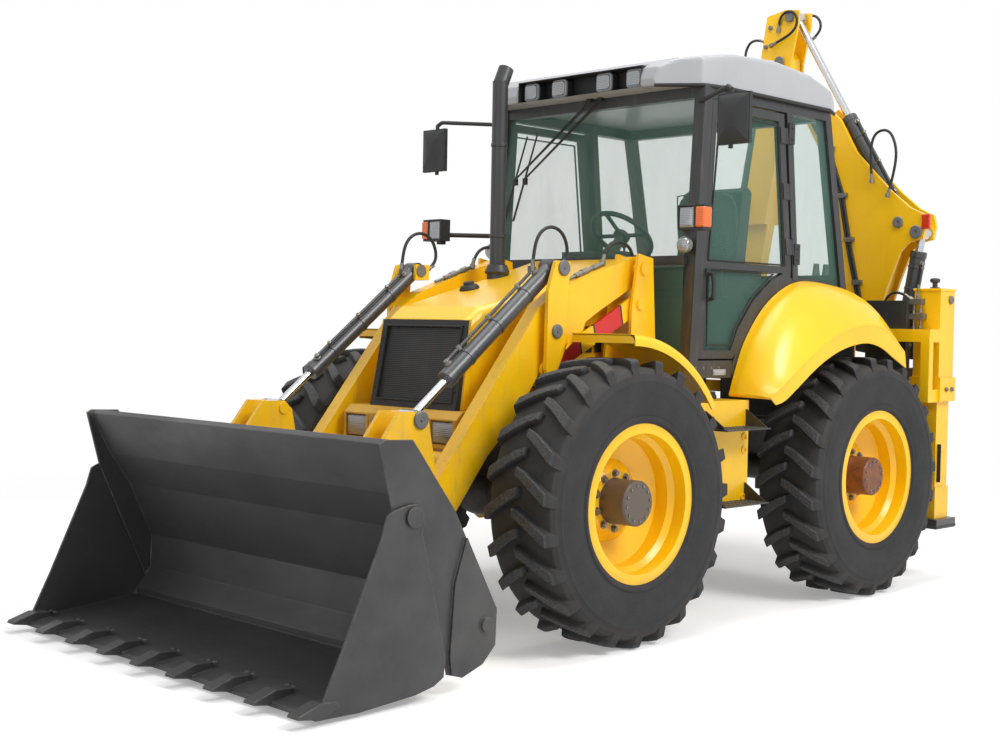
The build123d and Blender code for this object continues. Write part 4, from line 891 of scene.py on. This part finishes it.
# Pins of the loader on the left: across, rearwards, height and radius of the cap.
LOADER_PINS = {
    "root": [(596, 585, 1870, 44), (596, 554, 1679, 36)],
    "bellcranks": [(614, -93, 1531, 36), (614, -50, 1850, 40)],
    "bucket": [(598, -960, 513, 44), (598, -982, 1115, 42)],
}


def pin_caps():
    """Round caps at the outer ends of the pins, with a keeper's bolt on the loader's."""
    for body, places in LOADER_PINS.items():
        caps = Maker(f"pin_caps_{body}", body, "cap")
        for x, y, z, radius in places:
            r = radius / 1000
            cup = [(-0.004, r), (0.009, r), (0.013, r - 0.004), (0.013, r * 0.35), (0.010, r * 0.3)]
            for side in (1, -1):
                centre, out = at(side * x, y, z), Vector((side, 0, 0))
                caps.lathe(centre, out, cup, 36)
                caps.bolt(centre + out * 0.009, out, 0.014, 0.007)
        caps.done(bevel=0.001)
    caps = Maker("pin_caps_boom", "boom", "cap")
    for x, z, r in ((752, 2215, 0.044), (620, 2283, 0.038)):
        cup = [(-0.002, r), (0.012, r), (0.016, r - 0.005), (0.016, 0.012), (0.01, 0.01)]
        for way in (-1, 1):
            caps.lathe(at(x, BOOM_MIDDLE + 80 * way, z), (0, way, 0), cup, 32)
    caps.done(bevel=0.001)
    caps = Maker("pin_caps_dipper", "dipper", "cap")
    for x, z, r, sunk in ((-335, 3440, 0.040, 0), (-256, 3745, 0.038, 0), (-420, 3690, 0.016, 8),
                          (-455, 3560, 0.016, 8)):
        cup = [(-0.001, r), (0.01, r), (0.013, r - 0.004), (0.013, 0)]
        for way in (-1, 1):
            caps.lathe(at(x, BOOM_MIDDLE + (92 - sunk) * way, z), (0, way, 0), cup, 28, caps=False)
    caps.done(bevel=0.001)


def ram_dress(name, body, rams, length, r, up=1):
    """Clamps, gland nut, ports and pipe of rams, each given as base, eye and its pipe's sideways lean."""
    metal = Maker(f"{name}_bands", body, "ram")
    pipes = Maker(f"{name}_pipes", body, "ram")
    ports = Maker(f"{name}_ports", body, "steel")
    band = [(0, r - 0.001), (0.002, r + 0.0035), (0.018, r + 0.0035), (0.02, r - 0.001)]
    gland = [(0, r - 0.001), (0.003, r + 0.004), (0.04, r + 0.004), (0.044, r - 0.001)]
    port = [(0, 0.02), (0.012, 0.02), (0.014, 0.0135), (0.03, 0.0135), (0.032, 0.008)]
    high, low = 0.09, length - 0.075
    for base, eye, sideways in rams:
        line = (eye - base).normalized()
        over = line.cross(sideways).normalized()
        lean = ((over if over.z * up > 0 else -over) + sideways).normalized()
        out = lean * (r + 0.017)
        for share in BAND_SHARES:
            metal.lathe(base + line * length * share, line, band, 36, caps=False)
        metal.lathe(base + line * (length - 0.045), line, gland, 36, caps=False)
        pipes.tube([base + line * low + lean * (r - 0.002), base + line * low + out,
                    base + line * (low - 0.03) + out, base + line * (high + 0.03) + out,
                    base + line * high + out + lean * 0.025], 0.0085, 10)
        for reach in (high, low):
            ports.lathe(base + line * reach + lean * (r - 0.004), lean, port, 6)
        for share in BAND_SHARES:
            place = base + line * (length * share + 0.01) + out
            ports.lathe(place - lean * 0.012, lean, [(0, 0.012), (0.024, 0.012), (0.026, 0.008)], 6)
    metal.done(bevel=0.0008, segments=1)
    pipes.done()
    ports.done(bevel=0.0008, segments=1)


def dress_rams():
    tilt = [(at(side * 522, -50, 1850), at(side * 522, -982, 1115), Vector((-0.45 * side, 0, 0)))
            for side in (1, -1)]
    ram_dress("tilt_ram", "tilt_barrels", tilt, 0.905, 0.043)
    for name, base, eye, length, radius, up in (("dipper", (620, 2283), (-256, 3745), 0.860, 0.048, 1),
                                                ("boom", (640, 1560), (752, 2215), 0.540, 0.050, -1),
                                                ("hoe", (-541, 3240), (-790, 1820), 0.960, 0.042, -1)):
        start, end = (at(x, BOOM_MIDDLE, z) for x, z in (base, eye))
        ram_dress(f"{name}_ram", f"{name}_barrel", [(start, end, Vector((0, -0.5, 0)))], length, radius, up)


def arm_couplings():
    """Pipe coupling that lies on the arm's upper edge, one a side."""
    metal = Maker("arm_couplings", "arms", "steel")
    pipe = [(-0.09, 0.009), (-0.02, 0.009), (-0.02, 0.014), (0.03, 0.014), (0.032, 0.019), (0.075, 0.019),
            (0.078, 0.012), (0.12, 0.012), (0.122, 0.017), (0.165, 0.017), (0.168, 0.011), (0.205, 0.011)]
    for side in (-1, 1):
        start, end = at(side * 500, 180, 1824), at(side * 500, 372, 1889)
        line = (end - start).normalized()
        foot = start + line * 0.02
        metal.lathe(start, line, pipe, 12)
        metal.box(foot + Vector((-0.014, -0.014, -0.05)), foot + Vector((0.014, 0.014, 0.0)))
    metal.done(bevel=0.001, segments=1)


# ---- cab ----
def rounded_plate(maker, centre, right, up, half_w, half_h, corner, thickness, steps=5):
    """Slab with round corners in the plane of right and up, its face towards right x up."""
    out = right.cross(up)
    points = []
    for sx, sy, start in ((1, 1, 0), (-1, 1, 90), (-1, -1, 180), (1, -1, 270)):
        for n in range(steps + 1):
            t = math.radians(start + 90 * n / steps)
            across = sx * (half_w - corner) + corner * math.cos(t)
            height = sy * (half_h - corner) + corner * math.sin(t)
            points.append(centre + right * across + up * height)
    maker.skin([maker.ring(points), maker.ring(p + out * thickness for p in points)])


def brow_lamps():
    """Four lamps in the recess over the windscreen, each a shell, a bright rim and a lens, and its lining."""
    shell = Maker("brow_lamp_shells", "root", "plastic")
    bright = Maker("brow_lamp_rims", "root", "roof")
    glass = Maker("brow_lamp_lenses", "root", "clear")
    for x in (-390, -170, 170, 390):
        for made, y, *sizes in ((shell, 796, 0.058, 0.053, 0.022, 0.05),
                                (bright, 750, 0.056, 0.051, 0.022, 0.018),
                                (glass, 736, 0.047, 0.042, 0.019, 0.012)):
            rounded_plate(made, at(x, y, 2925), Vector((-1, 0, 0)), -UP, *sizes)
    shell.done(bevel=0.003)
    bright.done(bevel=0.004, segments=3)
    glass.done(bevel=0.006, segments=3)
    lining = Maker("brow_lining", "root", "screen")
    lining.box(at(-469, 800, 2868), at(469, 805, 2984))
    lining.box(at(-469, 704, 2979), at(469, 800, 2984))
    for x in (-469, 464):
        lining.box(at(x, 704, 2868), at(x + 5, 800, 2979))
    lining.done(bevel=0.001)


def work_lamp(side, word):
    """Lamp on the cab's corner: clear lens in a rim on a foot, with the amber indicator outside it."""
    faces = ((502, 0), (496, 3), (490, 16))
    glass = lens(f"work_lamp_{word}", (side * 908, side * 1002), (2070, 2180), faces)
    glass.done(bevel=0.005, segments=3)
    rim = Maker(f"work_lamp_rim_{word}", "root", "plastic")
    corners = ((903, 2065), (1007, 2065), (1007, 2185), (903, 2185), (903, 2065))
    rim.tube([at(side * x, 499, z) for x, z in corners], 0.006, 8)
    rim.side_box(side, (920, 520, 2040), (960, 560, 2062))
    rim.done(bevel=0.002)
    amber = Maker(f"indicator_{word}", "root", "amber")
    amber.side_box(side, (1012, 492, 2074), (1068, 566, 2178))
    amber.done(bevel=0.009, segments=3)


def pillar_lamp(side, word):
    """Small round lamp in a cup, low on the cab's pillar."""
    glass = Maker(f"pillar_lamp_{word}", "root", "clear")
    dome = [(0, 0.04), (0.02, 0.042), (0.028, 0.036), (0.033, 0.02), (0.035, 0)]
    glass.lathe(at(side * 735, 775, 2005), (0, -1, 0), dome, 32, caps=False)
    glass.done()
    cup = Maker(f"pillar_lamp_cup_{word}", "root", "steel")
    bowl = [(-0.02, 0.02), (0, 0.044), (0.024, 0.046), (0.026, 0.042)]
    cup.lathe(at(side * 735, 784, 2005), (0, -1, 0), bowl, 32)
    cup.done()


def mirror(side, word):
    """Glass that looks rearwards in a shell that rounds off forwards."""
    x, z = side * 1130, 2630
    glass = Maker(f"mirror_glass_{word}", "root", "mirror")
    rounded_plate(glass, at(x, 663, z), Vector((1, 0, 0)), -UP, 0.088, 0.118, 0.02, 0.002)
    glass.done(bevel=0.0008)
    shell = Maker(f"mirror_shell_{word}", "root", "plastic")
    rings = []
    for y, half_w, half_h in ((660, 100, 130), (640, 99, 129), (622, 78, 104), (608, 22, 40)):
        ring = []
        for t in circle(24):
            c, d = math.cos(t), math.sin(t)
            widest = max(abs(c), abs(d))
            grow = (0.86 + 0.14 * widest) / widest * 0.985
            ring.append(at(x + half_w * c * grow, y, z + half_h * d * grow))
        rings.append(shell.ring(ring))
    shell.skin(rings)
    shell.done(bevel=0.003)


def wipers():
    """Two long arms from a spindle over the windscreen, with their blades."""
    for x0, word in ((40, "near"), (-40, "far")):
        arm = Maker(f"wiper_{word}", "root", "screen")
        tip = at(x0 - 560, 826, 2420)
        for gap in (0, 22):
            bend = at(x0 - 540 + gap * 0.2, 812, 2440)
            arm.tube([at(x0 + gap, 848, 2870), at(x0 + gap - 20, 838, 2830), bend, tip], 0.0045, 8)
        arm.lathe(at(x0 + 10, 862, 2868), (0, -1, 0), [(0, 0.018), (0.03, 0.018), (0.034, 0.012)], 20)
        blade = ((-475, 838, 2690), (-485, 838, 2690), (-655, 818, 2185), (-640, 818, 2185))
        arm.slab([at(x0 + x, y, z) for x, y, z in blade], (0, 0.006, 0))
        arm.box(at(x0 - 575, 820, 2400), at(x0 - 545, 836, 2440))
        arm.done(bevel=0.001)


def door_trim(side, word):
    """Seals round the door's two panes, and its handle."""
    seal = Maker(f"door_seals_{word}", f"{word}_door", "screen")
    lower = [(925, 1470), (1140, 1470), (1200, 1590), (1345, 1750), (1520, 1868), (1540, 1878), (925, 1878)]
    upper = [(925, 1932), (1640, 1932), (1545, 2722), (1000, 2722)]
    for pane in (lower, upper):
        seal.tube([at(side * 778.5, y, z) for y, z in (*pane, pane[0])], 0.005, 8)
    seal.done()
    handle = Maker(f"door_handle_{word}", f"{word}_door", "plastic")
    grip = ((776, 925, 1860), (814, 925, 1850), (816, 930, 1800), (814, 932, 1725), (776, 932, 1715))
    handle.tube([at(side * x, y, z) for x, y, z in grip], 0.011, 12)
    handle.side_box(side, (776, 905, 1845), (784, 950, 1885))
    handle.done(bevel=0.002)


def pillar_trim(side, word):
    """Hinge leaves on the cab's side, and screws along its sill."""
    leaf = Maker(f"hinge_leaves_{word}", "root", "plastic")
    for y, z in ((1700, 2000), (1618, 2690)):
        leaf.side_box(side, (781, y + 34, z - 60), (789, y + 92, z + 60))
        for dz in (-32, 32):
            leaf.bolt(at(side * 788, y + 66, z + dz), (side, 0, 0), 0.014, 0.006)
    leaf.done(bevel=0.006, segments=3)
    screws = Maker(f"pillar_screws_{word}", "root", "steel")
    for y in (830, 900, 970, 1040):
        screws.bolt(at(side * 780, y, 1345), (side, 0, 0), 0.011, 0.004)
    screws.done(bevel=0.0006, segments=1)


def sill_plates():
    """Blank plate with two small screws on each sill."""
    plate = Maker("sill_plates", "root", "roof")
    for side in (-1, 1):
        plate.side_box(side, (780, 985, 1305), (783, 1100, 1338))
        for y in (992, 1093):
            plate.bolt(at(side * 783, y, 1321), (side, 0, 0), 0.007, 0.003, washer=False)
    plate.done(bevel=0.0008, segments=1)


def cab_trim():
    """Gutter under the roof's edge, levers, consoles and pedals, and the steering column with its boss."""
    gutter = Maker("roof_gutter", "root", "screen")
    edge = ((560, 700), (762, 868), (797, 1004), (797, 2055), (740, 2190))
    for side in (-1, 1):
        gutter.tube([at(side * x, y, 2866) for x, y in edge], 0.011, 10)
    gutter.done()
    controls = Maker("cab_controls", "root", "plastic")
    knob = [(0, 0.012), (0.02, 0.022), (0.045, 0.02), (0.058, 0)]
    for foot in (-330, -290, 330, 300):
        x = foot * 1.02
        controls.tube([at(foot, 1560, 1780), at(x, 1500, 1960), at(x, 1490, 2060)], 0.008, 8)
        controls.lathe(at(x, 1490, 2050), (0, -0.1, 1), knob, 20, caps=False)
    for side in (-1, 1):
        console, pedal = side * 345, side * 120
        controls.box(at(console - 60, 1560, 1741), at(console + 60, 1960, 1930))
        controls.box(at(pedal - 40, 1080, 1350), at(pedal + 40, 1100, 1420), Matrix.Rotation(-0.6, 3, "X"))
    controls.done(bevel=0.012, segments=3)
    column = Maker("wheel_boss", "root", "plastic")
    lean = (0, 0.64, 0.77)
    boss = [(0, 0.05), (0.02, 0.052), (0.03, 0.04), (0.033, 0)]
    column.lathe(at(0, 1108, 2086), lean, boss, 32, caps=False)
    column.lathe(at(0, 985, 1945), lean, [(-0.06, 0.06), (0.0, 0.055), (0.1, 0.04), (0.12, 0.036)], 24)
    column.done(bevel=0.002)


# Rings of a cushion from its underside to its crown: share of its height, draw-in, and share of the crown.
CUSHION_RINGS = ((0, 0.1, 0), (0.1, 0.0, 0), (0.45, 0.0, 0), (0.8, 0.0, 0), (0.88, 0.03, 0.1),
                 (0.94, 0.2, 0.6), (0.98, 0.5, 0.9), (1.0, 0.8, 1.0))


def cushion(name, size, crown, place):
    """Crowned pad with a welt at its seam: closed rings, rounded by subdivision and laid by a matrix."""
    wide, deep, thick = size

    def point(t, draw_in, height):
        c, d = math.cos(t), math.sin(t)
        stretch = (1 - draw_in) / max(abs(c), abs(d)) ** 0.82
        return place @ Vector((wide / 2 * c * stretch, deep / 2 * d * stretch, height))

    pad = Maker(name, "root", "cloth")
    rings = []
    for level, draw_in, grow in CUSHION_RINGS:
        height = thick * level + crown * grow
        rings.append(pad.ring(point(t, draw_in, height) for t in circle(24, 0.5)))
    pad.skin(rings)
    pad.done(subdivide=1)
    welt = Maker(name + "_welt", "root", "plastic")
    welt.tube([point(t, 0, thick * 0.8) for t in (*circle(48), 2 * math.pi)], 0.004, 8)
    welt.done()


# ---- fenders, tanks, steps ----
# Rear fender's section by the cab, its lip and the lip's lower edge, as (rearwards, height) from the front.
BY_CAB = [(1135, 1195), (1178, 1304), (1267, 1486), (1417, 1660), (1574, 1768), (1737, 1832), (1907, 1849),
          (2128, 1833), (2330, 1790), (2480, 1700), (2600, 1560)]
LIP = [(1150, 1190), (1230, 1235), (1370, 1320), (1530, 1415), (1690, 1495), (1850, 1555), (2010, 1590),
       (2160, 1602), (2300, 1585), (2420, 1530), (2560, 1440)]
LIP_EDGE = [(1205, 1150), (1290, 1172), (1420, 1245), (1560, 1328), (1700, 1397), (1850, 1450), (2010, 1482),
            (2150, 1489), (2290, 1462), (2430, 1402), (2580, 1340)]
# How far the section has gone over to the lip, at places across.
SWELL = [(780, 0), (860, 0.12), (940, 0.36), (1000, 0.66), (1050, 1)]
WHEELBASE = 2170
# Front fender's section, as (across, distance from the axle).
FRONT_SECTION = [(630, 820), (1020, 820), (1034, 816), (1044, 806), (1050, 790), (1050, 762),
                 (1043, 762), (1043, 788), (1037, 801), (1030, 808), (1018, 812), (630, 812)]


def smooth(points, parts):
    """Curve through the points, with so many parts between two of them."""
    points = [Vector(p) for p in points]
    padded = [2 * points[0] - points[1], *points, 2 * points[-1] - points[-2]]
    run = []
    for a, b, c, d in zip(padded, padded[1:], padded[2:], padded[3:]):
        for n in range(parts):
            t = n / parts
            bend = (2 * a - 5 * b + 4 * c - d) * t * t
            run.append(0.5 * (2 * b + (c - a) * t + bend + (3 * b - a - 3 * c + d) * t ** 3))
    return [*run, points[-1]]


def clamped(share):
    """Share kept between 0 and 1."""
    return min(1, max(0, share))


def rear_fender(made, side):
    """Sheet that swells from the cab's side to a hanging lip, with a rib by the cab."""
    near, far, edge = (smooth(line, 4) for line in (BY_CAB, LIP, LIP_EDGE))
    rings = []
    for x, share in smooth(SWELL, 6):
        rib = 6 * clamped((x - 812) / 10) * clamped((1040 - x) / 60)
        top = [a.lerp(b, share) for a, b in zip(near, far)]
        outer = [at(side * x, p.x, p.y + rib) for p in top]
        inner = [at(side * x, WHEELBASE + (p.x - WHEELBASE) * 0.988, p.y - 10) for p in top]
        rings.append(made.ring([*outer, *reversed(inner)]))
    made.skin(rings)
    made.skin([made.ring(at(side * x, p.x, p.y) for p in (*far, *reversed(edge))) for x in (1041, 1049)])


def front_fender(made, side):
    """Bent sheet over the front tyre, with a round shoulder and a lip, and its front edge, ear and stay."""
    rings = []
    for n in range(33):
        t = math.radians(35.06 + 54.94 * n / 32)
        ring = ((side * x, math.cos(t) * r, TYRE_RADIUS + math.sin(t) * r) for x, r in FRONT_SECTION)
        rings.append(made.ring(at(*place) for place in ring))
    made.skin(rings)
    made.side_box(side, (634, 0, 1479), (1044, 7, 1521))
    ear = ((8, 1524), (8, 1481), (-46, 1441), (0, 1524))
    made.slab([at(side * 630, y, z) for y, z in ear], (side * 0.008, 0, 0))
    stay = []
    for n in range(5):
        y = 495 + 105 * n / 4
        corners = ((612, 815), (660, 815), (660, 773), (612, 773))
        stay.append(made.ring(at(side * x, y, TYRE_RADIUS + math.sqrt(r * r - y * y)) for x, r in corners))
    made.skin(stay)


def fender_skins():
    made = Maker("fender_skins", "root", "yellow")
    for side in (-1, 1):
        rear_fender(made, side)
        front_fender(made, side)
    made.done(bevel=0.002, segments=2, angle=38, replaces=("fenders",))


def tank_pieces():
    """Filler caps on the tanks, round bosses on their sides, and raised grips on the steps."""
    caps = Maker("tank_caps", "root", "plastic")
    filler = [(0, 0.05), (0.02, 0.05), (0.024, 0.044), (0.04, 0.042), (0.043, 0)]
    for side in (-1, 1):
        caps.lathe(at(side * 700, 1050, 1172), UP, filler, 24, caps=False)
    caps.done(bevel=0.002)
    bosses = Maker("tank_bosses", "root", "yellow")
    boss = [(0, 0.022), (0.008, 0.022), (0.009, 0.012), (0.002, 0.011)]
    for side in (-1, 1):
        for y, z in ((1120, 973), (1120, 900), (790, 640), (1120, 640)):
            bosses.lathe(at(side * 899, y, z), (side, 0, 0), boss, 20)
    bosses.done(bevel=0.001)
    grips = Maker("step_grips", "root", "dark")
    grip = [(0, 0.011), (0.004, 0.0085), (0.0042, 0.005), (0.001, 0.0045)]
    for side in (-1, 1):
        for z in (627.5, 1029.5):
            for x in (925, 977, 1029):
                for n in range(12):
                    grips.lathe(at(side * x, 768 + n * 31, z), UP, grip, 10)
    grips.done()


# ---- rear frame, legs, boom ----
def leg_pieces(side, word):
    """Eye on the leg's housing, bosses on its side, its lid, a strip on the leg and an edge on its pad."""
    eye = Maker(f"leg_fittings_{word}", "root", "dark")
    neck = [(0, 0.03), (0.018, 0.03), (0.02, 0.016), (0.045, 0.016), (0.05, 0.03), (0.068, 0.032),
            (0.075, 0.022), (0.077, 0)]
    eye.lathe(at(side * 990, 3015, 1829), UP, neck, 24, caps=False)
    eye.done(bevel=0.002)
    bosses = Maker(f"leg_bosses_{word}", "root", "cap")
    for x, y, z, r in ((1080, 3050, 1768, 0.026), (1096, 2990, 1205, 0.014), (1096, 3060, 1205, 0.014)):
        boss = [(-0.001, r), (0.012, r), (0.015, r - 0.004), (0.015, 0.006), (0.009, 0.005)]
        bosses.lathe(at(side * x, y, z), (side, 0, 0), boss, 24)
    bosses.done(bevel=0.001)
    lid = Maker(f"housing_lid_{word}", "root", "yellow")
    lid.side_box(side, (893, 2918, 1822), (1087, 3112, 1838))
    lid.done(bevel=0.003)
    strip = Maker(f"leg_lamp_{word}", f"{word}_leg", "plastic")
    strip.side_box(side, (1040, 2960, 620), (1090, 2968, 860))
    strip.done(bevel=0.003)
    edge = Maker(f"pad_edge_{word}", f"{word}_leg", "rubber")
    edge.side_box(side, (866, 2891, 336), (1114, 3139, 352))
    edge.done(bevel=0.005, segments=3)


def valve_block():
    """Three valve bodies and their spools beside the left leg."""
    valve = Maker("valve_block", "root", "steel")
    for z, width in ((1755, 70), (1660, 84), (1560, 46)):
        valve.box(at(905 - width * 0.3, 2880, z - 18), at(905 + width, 2926, z + 18))
    spool = [(0, 0.008), (0.03, 0.008), (0.03, 0.014), (0.055, 0.014), (0.057, 0.008), (0.12, 0.008)]
    for x, z in ((915, 1540), (960, 1540), (915, 1640), (960, 1650), (940, 1740)):
        valve.lathe(at(x, 2896, z), UP, spool, 8)
    valve.done(bevel=0.002)


def boom_pieces():
    """Red lamp at the boom's foot, and two lines up its side under clips."""
    lamp = Maker("boom_lamp", "boom", "red")
    lamp.box(at(790, 3178, 2232), at(850, 3200, 2330))
    lamp.done(bevel=0.008, segments=3)
    lines = Maker("boom_lines", "boom", "hose")
    route = ((345, 1720), (250, 2100), (170, 2500), (60, 2800), (-120, 3080), (-240, 3260))
    for y, shift in ((3186, 0), (3184, 26)):
        lines.tube([at(x + shift, y, z) for x, z in route], 0.0105, 10)
    lines.done()
    clips = Maker("boom_clips", "boom", "steel")
    for x, z in ((305, 1890), (235, 2180), (175, 2480), (65, 2800), (-120, 3075)):
        clips.box(at(x - 16, 3172, z - 16), at(x + 60, 3191, z + 16))
        clips.bolt(at(x + 52, 3172, z), (0, -1, 0), 0.013, 0.007)
    clips.done(bevel=0.002)


# ---- bucket ----
def bucket_pieces():
    """Caps on the clam's pins, a strip over the seam inside, and pairs of bolts behind the teeth."""
    pins = Maker("clam_pins", "bucket", "worn")
    cup = [(-0.002, 0.044), (0.008, 0.044), (0.012, 0.039), (0.012, 0.014), (0.004, 0.012)]
    for side in (-1, 1):
        pins.lathe(at(side * 1160, -1524, 772), (side, 0, 0), cup, 32)
    pins.done(bevel=0.001)
    strip = Maker("seam_strip", "bucket", "worn")
    strip.box(at(-1138, -1403, 92), at(1138, -1390, 122))
    strip.done(bevel=0.002)
    bolts = Maker("edge_bolts", "clam", "worn")
    head = [(0, 0.014), (0.004, 0.013), (0.007, 0.007), (0.0075, 0)]
    for n in range(9):
        tooth = -1130 + 2260 * n / 8
        for x in (tooth - 22, tooth + 22):
            bolts.lathe(at(max(-1150, min(1150, x)), -1885, 82), UP, head, 14, caps=False)
    bolts.done()


# ---- the whole machine ----
camera()
for side, word in SIDES:
    for name, (body, x, places) in LOADER_HOSES.items():
        hose(f"{name}_{word}", body, 0.018, [(side * x, y, z) for y, z in places])
for name, (body, diameter, places) in REAR_HOSES.items():
    hose(name, body, diameter, places)
studio()
dress_solids()
for end, axle in (("f", front_axle), ("r", rear_axle)):
    for side, word in SIDES:
        tyre(end + word[0], side, axle)
        wheel_studs(end + word[0], side, axle)
grille_pieces()
head_lamps()
hood_pieces()
pin_caps()
dress_rams()
arm_couplings()
brow_lamps()
for side, word in SIDES:
    work_lamp(side, word)
    pillar_lamp(side, word)
    mirror(side, word)
    door_trim(side, word)
    pillar_trim(side, word)
wipers()
sill_plates()
cab_trim()
upright_seat = Matrix.Rotation(math.radians(98), 4, "X")
cushion("seat_cushion", (0.47, 0.45, 0.07), 0.02, Matrix.Translation(at(0, 1768, 1870)))
cushion("seat_back_cushion", (0.45, 0.5, 0.06), 0.018, Matrix.Translation(at(0, 1985, 2170)) @ upright_seat)
fender_skins()
tank_pieces()
for side, word in SIDES:
    leg_pieces(side, word)
valve_block()
boom_pieces()
bucket_pieces()
